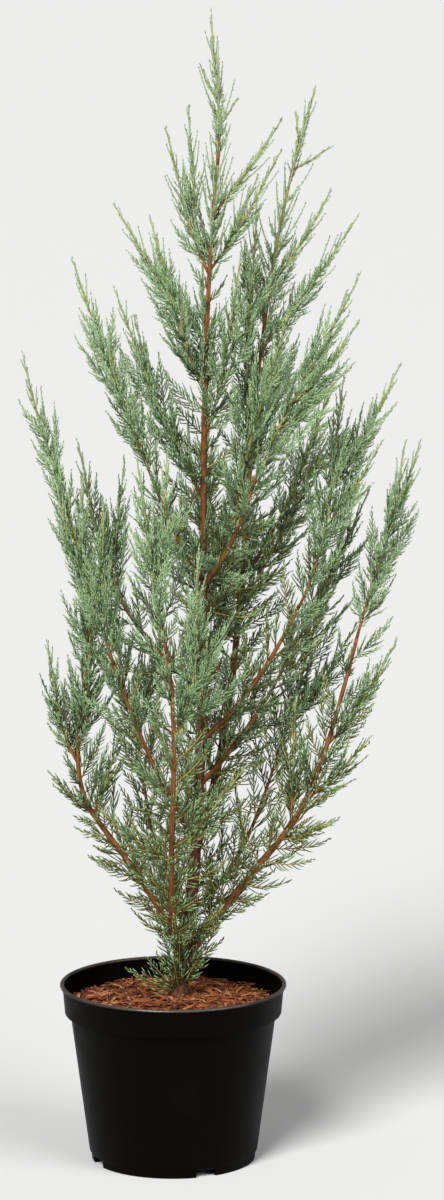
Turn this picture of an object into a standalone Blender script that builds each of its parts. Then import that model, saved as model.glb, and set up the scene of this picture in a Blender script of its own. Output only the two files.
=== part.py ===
"""Rocky mountain juniper in a round nursery pot.

Metres, +Z up. The origin is the centre of the pot's flat underside. -Y is the front, +X the right.
A limb is one tapering tube along a cubic curve. A mass of foliage is one stem with toothed sprays
that leave it by the golden angle, each kept nearer to its own stem than to any other.
"""

import math

import bmesh
import bpy
import numpy as np

# Pot
POT_HEIGHT = 0.222
RIM_RADIUS = 0.140
COLLAR_TOP_RADIUS = 0.1365
COLLAR_FOOT_RADIUS = 0.1338
COLLAR_HEIGHT = 0.033
BODY_TOP_RADIUS = 0.1269
BODY_FOOT_RADIUS = 0.104
FOOT_RADIUS = 0.1012
FOOT_HEIGHT = 0.010
WALL = 0.002
FLOOR = 0.003
LIP_HEIGHT = 0.0055
DRAIN_PAD_RADIUS = 0.076
DRAIN_ROOF = 0.008
FOOT_RING = 0.005
NOTCH_WIDTH = 0.027
NOTCH_HEIGHT = 0.0085
NOTCH_BEARINGS = (-66, 24, 114, 204)
POT_SIDES = 36

# Filling
GAP = 0.0003
MULCH_DEPTH = 0.016
MULCH_TOP = 0.2046
MULCH_FALL = 0.0095
MULCH_BUMP = 0.0016
MULCH_RINGS = 5
LUMP_WAVES = ((310, 270), (520, 430))
LANDING_RADIUS = 0.022

# Trunk and limbs
TRUNK_SIDES = 8
TRUNK_RINGS = 20
TRUNK_CROWDING = 1.15
TRUNK_FLARE = 0.0037
FLARE_HEIGHT = 0.014
LIMB_SIDES = 6
LIMB_STEP = 0.060

# Crown: an egg shape that the side sprays keep inside
CROWN_FOOT_ACROSS = 0.010
CROWN_LEAN = 0.060
CROWN_LEAN_FROM = 0.38
CROWN_LEAN_TO = 0.68
CROWN_RADIUS = 0.246
CROWN_DEPTH = 0.90
CROWN_FOOT = 0.232
CROWN_WIDEST = 0.93
CROWN_TOP = 1.42
CROWN_BELLY = 0.34
CROWN_POINT = 1.2

# Foliage
FIRST_SEED = 410
GOLDEN_ANGLE = math.radians(137.50776)
STEM_STEP = 0.055
STEM_TIP_RADIUS = 0.0008
SPRAY_BARE = 0.10
SPRAY_LAST = 0.80
SPRAY_TAPER = 0.55
SET_OUT_LOW = math.radians(46)
SET_OUT_HIGH = math.radians(26)
CURL_UP = 0.35
SPRAY_BEND = 0.62
SET_OUT_WIDE = 0.30
LEAST_SET_OUT = math.radians(28)
TIP_RISE = 0.12
HANDLE_SHARE = 0.36
SPRAY_LENGTH = 2.3
TOOTH_LENGTH = 0.86
STEM_TOOTH_LENGTH = 0.76
TOOTH_SPACING = 0.58
TOOTH_ANGLE_LOW = math.radians(36)
TOOTH_ANGLE_HIGH = math.radians(12)
TOOTH_BEND = 0.12
TOOTH_SHRINK = 0.5
TOOTH_UNEVEN = 0.18
TOOTH_TURN = 2.4
STEM_BARE = 0.62
SHOOT_BARE = 0.30
RIB_RADIUS = 0.0012
STEM_RADIUS = 0.0020
RIB_TIP_RADIUS = 0.0006
LIMB_CLEARANCE = 0.0015
DOUBLED = 4e-7
SPACE_MARGIN = 0.0012
SHORTER = (1.0, 0.8, 0.62, 0.48)
BEARINGS_TRIED = 9
MOST_STEM_SHARE = 0.8

UP = np.array((0.0, 0.0, 1.0))
HINT = np.array((0.83, 0.21, 0.1))
SECOND_HINT = np.array((0.31, 0.95, 0.05))
SHOWS_TO = np.array((0.25, -1.0, 0.1))
RIB_CORNERS = ((1.0, 0.0), (-0.5, -0.87), (-0.5, 0.87))

# Trunk: foot, two handles and tip, with the radius at each end.
TRUNK = (
    (0.006, 0.0, MULCH_TOP + GAP),
    (0.058, 0.004, 0.50),
    (0.020, -0.003, 0.88),
    (0.055, 0.0, 1.231),
)
TRUNK_RADII = (0.0088, 0.0018)

# Limbs: name, carrier, share of the carrier where it sets out, tip, how far its first and second
# handles are carried from the straight run, foot and tip radius.
LIMBS = (
    ("right_leader", "trunk", 0.20, (0.143, 0.050, 1.209),
     (0.040, 0.050, -0.058), (-0.034, 0.004, -0.040), 0.0054, 0.0017),
    ("left_bough", "trunk", 0.055, (-0.105, -0.030, 0.617),
     (-0.064, -0.012, 0.106), (-0.073, -0.004, -0.098), 0.0042, 0.0024),
    ("right_bough", "trunk", 0.045, (0.224, -0.030, 0.659),
     (0.070, -0.014, 0.078), (0.000, -0.010, -0.148), 0.0050, 0.0024),
    ("front_stem", "trunk", 0.030, (-0.006, -0.140, 0.660),
     (-0.023, -0.045, -0.010), (0.018, -0.040, 0.008), 0.0046, 0.0024),
    ("left_inner_bough", "trunk", 0.22, (-0.070, -0.080, 0.635),
     (-0.004, -0.024, -0.025), (-0.004, -0.010, -0.015), 0.0034, 0.0021),
    ("right_lower_bough", "trunk", 0.28, (0.125, -0.004, 0.598),
     (0.000, 0.004, -0.012), (0.004, 0.000, -0.008), 0.0036, 0.0023),
    ("right_middle_bough", "trunk", 0.335, (0.152, -0.036, 0.695),
     (0.006, -0.014, -0.016), (0.006, -0.006, -0.012), 0.0036, 0.0023),
    ("right_front_bough", "trunk", 0.52, (0.096, -0.080, 0.848),
     (0.006, -0.010, -0.010), (0.004, -0.006, -0.006), 0.0034, 0.0021),
    ("right_back_bough", "trunk", 0.49, (0.125, 0.030, 0.785),
     (0.004, -0.026, -0.012), (0.006, -0.012, -0.010), 0.0030, 0.0020),
    ("left_upper_bough", "trunk", 0.53, (-0.022, -0.042, 0.852),
     (-0.004, -0.006, -0.010), (-0.003, -0.003, -0.006), 0.0030, 0.0020),
    ("left_back_bough", "trunk", 0.40, (-0.050, 0.066, 0.665),
     (-0.006, 0.008, -0.012), (-0.004, 0.006, -0.008), 0.0032, 0.0021),
    ("back_bough", "trunk", 0.33, (0.038, 0.096, 0.610),
     (0.000, 0.014, -0.018), (0.000, 0.010, -0.012), 0.0036, 0.0021),
    ("back_low_bough", "trunk", 0.10, (-0.032, 0.100, 0.420),
     (-0.008, 0.016, -0.022), (-0.006, 0.010, -0.014), 0.0038, 0.0022),
    ("back_right_low_bough", "trunk", 0.12, (0.110, 0.092, 0.430),
     (0.010, 0.012, -0.024), (0.008, 0.008, -0.018), 0.0038, 0.0022),
)

# Masses: name, carrier, share of the carrier (1 is its tip), tip, side shoots (share of the stem where
# one leaves it, and its tip), half width, sprays.
MASSES = (
    ("leader_tip", "trunk", 1.0, (0.047, 0.000, 1.417),
     ((0.25, (0.079, -0.008, 1.312)), (0.40, (0.034, 0.008, 1.350))), 0.026, 2),
    ("top_left_plume", "trunk", 0.875, (-0.008, 0.000, 1.279),
     ((0.30, (0.020, -0.016, 1.307)),), 0.032, 3),
    ("top_right_plume", "trunk", 0.945, (0.134, 0.012, 1.288),
     (), 0.026, 2),
    ("upper_right_plume", "trunk", 0.88, (0.132, -0.032, 1.254),
     ((0.30, (0.104, -0.022, 1.222)),), 0.032, 3),
    ("centre_plume", "trunk", 0.69, (0.084, -0.050, 1.132),
     (), 0.049, 4),
    ("left_centre_plume", "trunk", 0.74, (-0.027, -0.045, 1.177),
     ((0.30, (0.012, -0.060, 1.092)),), 0.049, 4),
    ("left_high_plume", "trunk", 0.80, (-0.071, 0.012, 1.185),
     (), 0.038, 4),
    ("left_top_plume", "trunk", 0.62, (-0.071, -0.024, 1.090),
     ((0.45, (-0.047, 0.010, 1.051)),), 0.036, 4),
    ("back_high_plume", "trunk", 0.74, (0.036, 0.085, 1.120),
     (), 0.049, 4),
    ("right_inner_plume", "trunk", 0.425, (0.190, -0.010, 0.905),
     (), 0.056, 5),
    ("front_foot_spray", "trunk", 0.075, (0.061, -0.075, 0.335),
     ((0.30, (0.012, -0.085, 0.300)),), 0.040, 3),
    ("back_foot_spray", "trunk", 0.085, (-0.032, 0.070, 0.300),
     (), 0.034, 2),
    ("right_leader_tip", "right_leader", 1.0, (0.174, 0.050, 1.325),
     ((0.10, (0.190, 0.030, 1.250)), (0.35, (0.150, 0.060, 1.290))), 0.026, 2),
    ("right_leader_side_spray", "right_leader", 0.86, (0.193, 0.026, 1.200),
     (), 0.030, 2),
    ("right_leader_outer_plume", "right_leader", 0.78, (0.227, 0.060, 1.167),
     (), 0.030, 3),
    ("right_leader_inner_plume", "right_leader", 0.64, (0.103, 0.022, 1.198),
     (), 0.043, 4),
    ("right_leader_back_plume", "right_leader", 0.60, (0.150, 0.130, 1.080),
     (), 0.049, 4),
    ("right_front_plume", "right_front_bough", 1.0, (0.226, -0.100, 1.116),
     ((0.40, (0.224, -0.130, 1.060)), (0.28, (0.219, -0.128, 1.010))), 0.046, 5),
    ("right_front_inner_plume", "right_front_bough", 0.62, (0.140, -0.140, 1.080),
     (), 0.049, 5),
    ("right_back_plume", "right_back_bough", 1.0, (0.205, 0.085, 0.985),
     ((0.30, (0.230, 0.110, 0.900)),), 0.056, 5),
    ("right_middle_plume", "right_middle_bough", 1.0, (0.208, -0.050, 0.989),
     ((0.50, (0.276, -0.030, 0.997)), (0.36, (0.254, -0.075, 0.910))), 0.052, 6),
    ("right_lower_plume", "right_lower_bough", 1.0, (0.242, 0.020, 0.840),
     (), 0.056, 5),
    ("right_outer_plume", "right_bough", 1.0, (0.301, -0.020, 0.904),
     ((0.50, (0.281, -0.052, 0.906)),), 0.045, 5),
    ("right_outer_spray", "right_bough", 0.80, (0.273, -0.060, 0.664),
     (), 0.042, 4),
    ("right_low_spray", "right_bough", 0.62, (0.242, -0.070, 0.547),
     (), 0.050, 5),
    ("right_foot_spray", "right_bough", 0.42, (0.194, -0.080, 0.440),
     ((0.30, (0.160, -0.100, 0.420)),), 0.050, 4),
    ("right_low_inner_spray", "right_bough", 0.50, (0.150, -0.045, 0.590),
     (), 0.056, 5),
    ("left_outer_plume", "left_bough", 1.0, (-0.181, -0.020, 1.012),
     ((0.30, (-0.142, -0.045, 0.860)),), 0.036, 5),
    ("left_second_plume", "left_bough", 0.80, (-0.108, -0.045, 0.869),
     (), 0.040, 4),
    ("left_side_spray", "left_bough", 0.76, (-0.153, -0.030, 0.657),
     (), 0.038, 4),
    ("left_low_spray", "left_bough", 0.52, (-0.150, -0.060, 0.500),
     (), 0.048, 5),
    ("left_low_inner_spray", "left_bough", 0.50, (-0.060, -0.055, 0.560),
     (), 0.052, 5),
    ("left_inner_plume", "left_inner_bough", 1.0, (-0.082, -0.100, 0.846),
     (), 0.046, 5),
    ("left_upper_plume", "left_upper_bough", 1.0, (-0.120, -0.060, 1.129),
     ((0.40, (-0.075, -0.075, 1.024)),), 0.042, 5),
    ("left_back_plume", "left_back_bough", 1.0, (-0.119, 0.085, 0.889),
     ((0.25, (-0.060, 0.120, 0.860)),), 0.056, 5),
    ("front_plume", "front_stem", 1.0, (-0.041, -0.130, 0.898),
     ((0.35, (-0.004, -0.135, 0.912)),), 0.054, 5),
    ("front_right_plume", "front_stem", 0.74, (0.034, -0.170, 0.799),
     (), 0.052, 4),
    ("front_low_right_spray", "front_stem", 0.42, (0.088, -0.150, 0.525),
     (), 0.054, 4),
    ("front_low_left_spray", "front_stem", 0.38, (-0.088, -0.150, 0.474),
     (), 0.054, 4),
    ("back_plume", "back_bough", 1.0, (0.040, 0.185, 0.930),
     ((0.30, (0.100, 0.175, 0.840)),), 0.060, 6),
    ("back_low_plume", "back_low_bough", 1.0, (-0.090, 0.160, 0.720),
     ((0.30, (-0.010, 0.190, 0.650)),), 0.058, 6),
    ("back_right_low_plume", "back_right_low_bough", 1.0, (0.200, 0.150, 0.740),
     ((0.30, (0.230, 0.090, 0.660)),), 0.058, 6),
)


def clear_scene():
    for thing in list(bpy.data.objects):
        bpy.data.objects.remove(thing, do_unlink=True)


def principled(name, colour, roughness, metallic=0.0):
    material = bpy.data.materials.new(name)
    material.use_nodes = True
    shader = material.node_tree.nodes["Principled BSDF"]
    shader.inputs["Base Color"].default_value = (*colour, 1.0)
    shader.inputs["Roughness"].default_value = roughness
    shader.inputs["Metallic"].default_value = metallic
    return material


def pot_plastic():
    return principled("pot_plastic", (0.012, 0.011, 0.010), 0.45)


def potting_soil():
    return principled("potting_soil", (0.035, 0.020, 0.012), 0.95)


def bark_chips():
    return principled("bark_chips", (0.27, 0.10, 0.045), 0.9)


def juniper_bark():
    return principled("juniper_bark", (0.23, 0.075, 0.030), 0.85)


def juniper_foliage():
    return principled("juniper_foliage", (0.24, 0.42, 0.26), 0.75)


def object_from(name, points, faces, material):
    mesh = bpy.data.meshes.new(name)
    mesh.from_pydata([tuple(point) for point in points], [], faces)
    mesh.update()
    thing = bpy.data.objects.new(name, mesh)
    bpy.context.scene.collection.objects.link(thing)
    mesh.materials.append(material)
    return thing


def unit(vector):
    return np.asarray(vector, float) / np.linalg.norm(vector)


def bezier(handles, shares):
    """Points of the cubic curve with these four handles, at these shares of it."""
    t = np.atleast_1d(np.asarray(shares, float))[:, None]
    a, b, c, d = (np.asarray(handle, float) for handle in handles)
    return (1 - t) ** 3 * a + 3 * (1 - t) ** 2 * t * b + 3 * (1 - t) * t**2 * c + t**3 * d


def heading(handles, shares):
    """Unit directions of the cubic curve at these shares of it."""
    t = np.atleast_1d(np.asarray(shares, float))[:, None]
    a, b, c, d = (np.asarray(handle, float) for handle in handles)
    slope = (1 - t) ** 2 * (b - a) + 2 * (1 - t) * t * (c - b) + t**2 * (d - c)
    return slope / np.linalg.norm(slope, axis=1, keepdims=True)


def run_length(handles):
    points = bezier(handles, np.linspace(0, 1, 25))
    return float(np.linalg.norm(np.diff(points, axis=0), axis=1).sum())


def side_of(direction, hint):
    """Unit vector square to the direction, as near to the hint as can be."""
    flat = hint - direction * np.dot(hint, direction)
    if np.linalg.norm(flat) < 1e-4:
        flat = np.cross(direction, SECOND_HINT)
    return unit(flat)


def ring(centre, direction, radius, sides, hint):
    u = side_of(direction, hint)
    v = np.cross(direction, u)
    angles = np.arange(sides) * 2 * math.pi / sides
    return centre + radius * (np.cos(angles)[:, None] * u + np.sin(angles)[:, None] * v)


def tube_faces(sides, rings):
    faces = [tuple(range(sides))[::-1]]
    for level in range(rings - 1):
        low = level * sides
        for i in range(sides):
            j = (i + 1) % sides
            faces.append((low + i, low + j, low + sides + j, low + sides + i))
    faces.append(tuple(range((rings - 1) * sides, rings * sides)))
    return faces


def tube_along(handles, radii, sides, rings):
    """Rings of a tapering tube along the curve."""
    shares = np.linspace(0, 1, rings)
    centres = bezier(handles, shares)
    ways = heading(handles, shares)
    grown = radii[0] + (radii[1] - radii[0]) * shares
    return [ring(*step, sides, HINT) for step in zip(centres, ways, grown)]


def mitre(points, direction, plane_point, plane_normal):
    """Slides the points along the direction onto the plane."""
    lift = (points - plane_point) @ plane_normal / float(direction @ plane_normal)
    return points - lift[:, None] * direction


class Limb:
    """A tapering tube along a cubic curve, straight from ring to ring, that others can be carried by."""

    def __init__(self, handles, radii, sides, flare=0.0):
        self.handles = handles
        self.radii = radii
        self.sides = sides
        self.flare = flare
        self.centres = None

    def offsets(self, places):
        """From the places to the nearest point of each straight run of the tube's axis."""
        low = self.centres[:-1]
        run = np.diff(self.centres, axis=0)
        part = ((places[:, None] - low) * run).sum(axis=2) / (run**2).sum(axis=1)
        return low + run * np.clip(part, 0, 1)[:, :, None] - places[:, None]

    def distance(self, places):
        return np.linalg.norm(self.offsets(places), axis=2).min(axis=1)

    def nearest(self, share):
        """The axis run that is nearest to the curve at this share, and the point of it."""
        place = bezier(self.handles, share)
        offsets = self.offsets(place)[0]
        run = np.linalg.norm(offsets, axis=1).argmin()
        return run, place[0] + offsets[run]

    def at(self, share):
        return self.nearest(share)[1]

    def way(self, share):
        run = self.nearest(share)[0]
        return unit(self.centres[run + 1] - self.centres[run])

    def radius(self, share):
        rise = (bezier(self.handles, share) - self.handles[0])[0, 2]
        spread = self.flare * math.exp(-rise / FLARE_HEIGHT) if self.flare else 0.0
        return self.radii[0] + (self.radii[1] - self.radii[0]) * share + spread

    def reach(self, share, outward, half):
        """How far the faceted surface stands out, this way, across a foot of this half width."""
        corners = ring(np.zeros(3), self.way(share), self.radius(share), self.sides, HINT)
        out = corners @ outward
        aside = corners @ np.cross(self.way(share), outward)
        half = min(half, aside.max() * 0.99, -aside.min() * 0.99)
        found = []
        for at in np.linspace(-half, half, 9):
            for i in range(self.sides):
                j = (i + 1) % self.sides
                if (aside[i] - at) * (aside[j] - at) < 0:
                    found.append(out[i] + (out[j] - out[i]) * (at - aside[i]) / (aside[j] - aside[i]))
        return max(found)

    def samples(self, count):
        shares = np.linspace(0, 1, count)
        places = np.array([self.at(share) for share in shares])
        return places, np.array([self.radius(share) for share in shares])


def limb_handles(foot, tip, low_bow, high_bow):
    """A limb's handles: a third and two thirds of its straight run, each carried aside by its bow."""
    foot, tip, low_bow, high_bow = (np.asarray(place, float) for place in (foot, tip, low_bow, high_bow))
    run = tip - foot
    return foot, foot + run / 3 + low_bow, foot + run * 2 / 3 + high_bow, tip


def set_out_way(carrier_way, run):
    """The way a side shoot leaves its carrier: wide of its straight run, and well off the carrier's way."""
    length = np.linalg.norm(run)
    way = unit(run / length + SET_OUT_WIDE * run * (1, 1, 0) / length)
    if float(way @ carrier_way) < math.cos(LEAST_SET_OUT):
        return way
    return math.cos(LEAST_SET_OUT) * carrier_way + math.sin(LEAST_SET_OUT) * side_of(carrier_way, way)


def shoot_handles(foot, tip, foot_way):
    """A shoot's handles: it sets out along the foot way and turns upwards towards its tip."""
    foot = np.asarray(foot, float)
    tip = np.asarray(tip, float)
    length = np.linalg.norm(tip - foot)
    tip_way = unit((tip - foot) / length + TIP_RISE * UP)
    return foot, foot + foot_way * length * HANDLE_SHARE, tip - tip_way * length * HANDLE_SHARE, tip


def foot_on(carrier, share, handles, radius, ring_at):
    """First ring of a side limb or stem, cut along the carrier's surface and a gap clear of it."""
    way = heading(handles, 0.0)[0]
    outward = side_of(carrier.way(share), way)
    half_run = radius / float(way @ outward) / run_length(carrier.handles)
    under = [min(1.0, max(0.0, share + half_run * side)) for side in (-1.0, -0.5, 0.0, 0.5, 1.0)]
    rises = [float((carrier.at(near) - carrier.at(share)) @ outward) for near in under]
    reach = max(carrier.reach(near, outward, radius) + rise for near, rise in zip(under, rises))
    plane_point = carrier.at(share) + outward * (reach + GAP)
    start = carrier.at(share) + way * (carrier.radius(share) / float(way @ outward))
    return mitre(np.array(ring_at(start, way)), way, plane_point, outward)


def past_carrier(carrier, share, handles, radius):
    """The handles of the part of the curve where a tube of this radius has left its carrier."""
    shares = np.linspace(0, 0.6, 181)
    clear = carrier.distance(bezier(handles, shares)) > carrier.radius(share) + radius + 3 * GAP
    return cut_from(handles, shares[clear.argmax()])


def cut_from(handles, share):
    """The handles of the part of the cubic curve that lies past this share."""
    a, b, c, d = (np.asarray(handle, float) for handle in handles)
    start = bezier(handles, share)[0]
    low = c + (d - c) * share
    middle = b + (c - b) * share
    return start, middle + (low - middle) * share, low, d


def limb_object(name, rings, sides, material):
    points = np.concatenate(rings)
    thing = object_from(name, points, tube_faces(sides, len(rings)), material)
    thing.data.shade_smooth()
    return thing


def turned(name, profile, sides, material):
    """Solid of revolution of an (radius, height) outline that starts and ends on the axis."""
    mesh = bmesh.new()
    rows = []
    for radius, height in profile:
        if radius < 1e-9:
            rows.append([mesh.verts.new((0, 0, height))])
            continue
        angles = [2 * math.pi * i / sides for i in range(sides)]
        rows.append([mesh.verts.new((radius * math.cos(a), radius * math.sin(a), height)) for a in angles])
    for low, high in zip(rows, rows[1:]):
        for i in range(sides):
            j = (i + 1) % sides
            corners = (low[i % len(low)], low[j % len(low)], high[j % len(high)], high[i % len(high)])
            mesh.faces.new(list(dict.fromkeys(corners)))
    bmesh.ops.recalc_face_normals(mesh, faces=mesh.faces)
    data = bpy.data.meshes.new(name)
    mesh.to_mesh(data)
    mesh.free()
    thing = bpy.data.objects.new(name, data)
    bpy.context.scene.collection.objects.link(thing)
    data.materials.append(material)
    return thing


def shade_round(thing, angle=35):
    thing.data.shade_smooth()
    thing.data.set_sharp_from_angle(angle=math.radians(angle))


def body_radius(height):
    """Outer radius of the pot's body below the collar."""
    rise = (height - FOOT_HEIGHT) / (POT_HEIGHT - COLLAR_HEIGHT - LIP_HEIGHT - FOOT_HEIGHT)
    return BODY_FOOT_RADIUS + (BODY_TOP_RADIUS - BODY_FOOT_RADIUS) * rise


def collar_radius(height):
    """Outer radius of the collar under the lip."""
    rise = (height - (POT_HEIGHT - COLLAR_HEIGHT - LIP_HEIGHT)) / COLLAR_HEIGHT
    return COLLAR_FOOT_RADIUS + (COLLAR_TOP_RADIUS - COLLAR_FOOT_RADIUS) * rise


def pot_profile():
    step = POT_HEIGHT - COLLAR_HEIGHT - LIP_HEIGHT
    lip = POT_HEIGHT - LIP_HEIGHT
    bead = RIM_RADIUS - COLLAR_TOP_RADIUS + WALL
    middle = RIM_RADIUS - bead / 2
    outer = [
        (0.0, 0.0),
        (DRAIN_PAD_RADIUS, 0.0),
        (DRAIN_PAD_RADIUS + 0.002, DRAIN_ROOF),
        (FOOT_RADIUS - FOOT_RING - 0.001, DRAIN_ROOF),
        (FOOT_RADIUS - FOOT_RING, 0.0),
        (FOOT_RADIUS, 0.0),
        (FOOT_RADIUS + 0.0006, FOOT_HEIGHT),
        (BODY_FOOT_RADIUS, FOOT_HEIGHT + 0.001),
        (body_radius(step), step),
        (COLLAR_FOOT_RADIUS, step + 0.0015),
        (collar_radius(lip), lip),
        (RIM_RADIUS, lip + 0.0012),
    ]
    angles = [math.radians(a) for a in (35, 90, 145)]
    rise = LIP_HEIGHT - 0.0012
    bead_top = [(middle + bead / 2 * math.cos(a), lip + 0.0012 + rise * math.sin(a)) for a in angles]
    inner = [
        (RIM_RADIUS - bead, lip),
        (COLLAR_FOOT_RADIUS - WALL, step + WALL),
        (body_radius(step) - WALL, step + WALL * 0.4),
        (body_radius(DRAIN_ROOF + FLOOR) - WALL, DRAIN_ROOF + FLOOR),
        (DRAIN_PAD_RADIUS - 0.004, DRAIN_ROOF + FLOOR),
        (DRAIN_PAD_RADIUS - 0.010, FLOOR),
        (0.0, FLOOR),
    ]
    return outer + bead_top + inner


def notch_cutter(bearing):
    """A round-topped block across the foot ring, at this bearing from the front."""
    outline = [(-NOTCH_WIDTH / 2, -0.01), (NOTCH_WIDTH / 2, -0.01)]
    corner = NOTCH_HEIGHT * 0.35
    for angle in (0, 45, 90):
        turn = math.radians(angle)
        across = NOTCH_WIDTH / 2 - corner + corner * math.cos(turn)
        outline.append((across, NOTCH_HEIGHT - corner + corner * math.sin(turn)))
    for angle in (90, 135, 180):
        turn = math.radians(angle)
        across = corner - NOTCH_WIDTH / 2 + corner * math.cos(turn)
        outline.append((across, NOTCH_HEIGHT - corner + corner * math.sin(turn)))
    out = np.array((math.sin(math.radians(bearing)), -math.cos(math.radians(bearing)), 0.0))
    along = np.cross(UP, out)
    near = FOOT_RADIUS - FOOT_RING - 0.004
    far = BODY_FOOT_RADIUS + 0.01
    points = [out * near + along * a + UP * z for a, z in outline]
    points += [out * far + along * a + UP * z for a, z in outline]
    cutter = object_from("notch_cutter", points, tube_faces(len(outline), 2), pot_plastic())
    cutter.hide_render = True
    cutter.display_type = "WIRE"
    mesh = bmesh.new()
    mesh.from_mesh(cutter.data)
    bmesh.ops.recalc_face_normals(mesh, faces=mesh.faces)
    mesh.to_mesh(cutter.data)
    mesh.free()
    return cutter


def apply_boolean(thing, operation, others, solver="EXACT"):
    """Joins or cuts the thing with the other objects, then removes them."""
    group = bpy.data.collections.new("others")
    bpy.context.scene.collection.children.link(group)
    for other in others:
        group.objects.link(other)
    modifier = thing.modifiers.new("join", "BOOLEAN")
    modifier.operation = operation
    modifier.operand_type = "COLLECTION"
    modifier.collection = group
    modifier.solver = solver
    graph = bpy.context.evaluated_depsgraph_get()
    made = bpy.data.meshes.new_from_object(thing.evaluated_get(graph))
    thing.modifiers.clear()
    old = thing.data
    thing.data = made
    made.name = thing.name
    bpy.data.meshes.remove(old)
    for other in others:
        mesh = other.data
        bpy.data.objects.remove(other, do_unlink=True)
        bpy.data.meshes.remove(mesh)
    bpy.data.collections.remove(group)


def pot():
    thing = turned("pot", pot_profile(), POT_SIDES, pot_plastic())
    apply_boolean(thing, "DIFFERENCE", [notch_cutter(bearing) for bearing in NOTCH_BEARINGS])
    shade_round(thing)
    return thing


def root_ball():
    """The filled inside of the pot, a gap clear of its wall and floor, up to the mulch."""
    step = POT_HEIGHT - COLLAR_HEIGHT - LIP_HEIGHT
    top = MULCH_TOP - MULCH_DEPTH
    clear = WALL + GAP * 1.4
    profile = [
        (0.0, FLOOR + GAP),
        (DRAIN_PAD_RADIUS - 0.012, FLOOR + GAP),
        (DRAIN_PAD_RADIUS - 0.006, DRAIN_ROOF + FLOOR + GAP),
        (body_radius(DRAIN_ROOF + FLOOR) - clear, DRAIN_ROOF + FLOOR + GAP),
        (body_radius(step) - clear, step),
        (body_radius(step) - clear, step + WALL + GAP),
        (COLLAR_FOOT_RADIUS - clear, step + WALL + GAP),
        (collar_radius(top) - clear, top),
        (0.0, top),
    ]
    thing = turned("root_ball", profile, POT_SIDES, potting_soil())
    shade_round(thing)
    return thing


def mulch_height(x, y):
    """Mounded towards the middle, with a lumpy top and a flat landing for the trunk."""
    reach = np.hypot(x, y) / (collar_radius(MULCH_TOP) - WALL)
    (fast_x, fast_y), (slant_x, slant_y) = LUMP_WAVES
    lumps = np.sin(x * fast_x + 1.3) * np.sin(y * fast_y + 0.4)
    lumps = lumps + 0.6 * np.sin(x * slant_x - y * slant_y + 2.1)
    away = np.clip((np.hypot(x - TRUNK[0][0], y) - LANDING_RADIUS) / LANDING_RADIUS, 0, 1)
    return MULCH_TOP - away * (MULCH_FALL * reach**2.2 + MULCH_BUMP * (1 + lumps))


def bark_mulch():
    bottom = MULCH_TOP - MULCH_DEPTH + GAP
    edge = collar_radius(bottom) - WALL - GAP * 1.4
    angles = np.arange(POT_SIDES) * 2 * math.pi / POT_SIDES
    points = [(0.0, 0.0, float(mulch_height(0.0, 0.0)))]
    for level in range(1, MULCH_RINGS + 1):
        x = edge * level / MULCH_RINGS * np.cos(angles)
        y = edge * level / MULCH_RINGS * np.sin(angles)
        points += list(zip(x, y, mulch_height(x, y)))
    points += [(edge * math.cos(a), edge * math.sin(a), bottom) for a in angles]
    faces = [(0, 1 + i, 1 + (i + 1) % POT_SIDES) for i in range(POT_SIDES)]
    for level in range(MULCH_RINGS):
        low = 1 + level * POT_SIDES
        for i in range(POT_SIDES):
            j = (i + 1) % POT_SIDES
            faces.append((low + i, low + POT_SIDES + i, low + POT_SIDES + j, low + j))
    last = 1 + MULCH_RINGS * POT_SIDES
    faces.append(tuple(last + i for i in range(POT_SIDES))[::-1])
    thing = object_from("bark_mulch", points, faces, bark_chips())
    shade_round(thing, 60)
    return thing


def trunk(limb):
    shares = (np.arange(TRUNK_RINGS) / (TRUNK_RINGS - 1)) ** TRUNK_CROWDING
    limb.centres = bezier(limb.handles, shares)
    ways = heading(limb.handles, shares)
    ways[0] = UP
    rings = [
        ring(centre, way, limb.radius(share), TRUNK_SIDES, HINT)
        for share, centre, way in zip(shares, limb.centres, ways)
    ]
    return limb_object("trunk", rings, TRUNK_SIDES, juniper_bark())


def side_limb(name, carrier, share, limb):
    radius = limb.radii[0]
    count = max(4, round(run_length(limb.handles) / LIMB_STEP) + 1)
    handles = past_carrier(carrier, share, limb.handles, radius)
    limb.centres = np.concatenate([limb.handles[0][None], bezier(handles, np.linspace(0, 1, count))])
    rings = tube_along(handles, limb.radii, LIMB_SIDES, count)

    def foot_ring(at, way):
        return ring(at, way, radius, LIMB_SIDES, HINT)

    first = foot_on(carrier, share, limb.handles, radius, foot_ring)
    return limb_object(name, [first, *rings], LIMB_SIDES, juniper_bark())


def grow_limbs():
    limbs = {"trunk": Limb(TRUNK, TRUNK_RADII, TRUNK_SIDES, TRUNK_FLARE)}
    trunk(limbs["trunk"])
    for name, carrier, share, tip, low_bow, high_bow, foot_radius, tip_radius in LIMBS:
        handles = limb_handles(limbs[carrier].at(share), tip, low_bow, high_bow)
        limbs[name] = Limb(handles, (foot_radius, tip_radius), LIMB_SIDES)
        side_limb(name, limbs[carrier], share, limbs[name])
    return limbs


def main_stems(limbs):
    """The handles of each mass's stem and side shoots, from its carrier and tips."""
    stems = {}
    for name, carrier, share, tip, shoots, width, sprays in MASSES:
        limb = limbs[carrier]
        way = limb.way(share)
        foot = limb.at(share)
        if share == 1.0:
            foot = foot + way * GAP
        else:
            way = set_out_way(way, np.asarray(tip) - foot)
        stem = [shoot_handles(foot, tip, way)]
        for leaves_at, shoot_tip in shoots:
            foot = bezier(stem[0], leaves_at)[0]
            way = set_out_way(heading(stem[0], leaves_at)[0], np.asarray(shoot_tip) - foot)
            stem.append(shoot_handles(foot, shoot_tip, way))
        stems[name] = stem
    return stems


def distance_to(points, places):
    return np.linalg.norm(points[:, None] - places[None], axis=2).min(axis=1)


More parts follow.
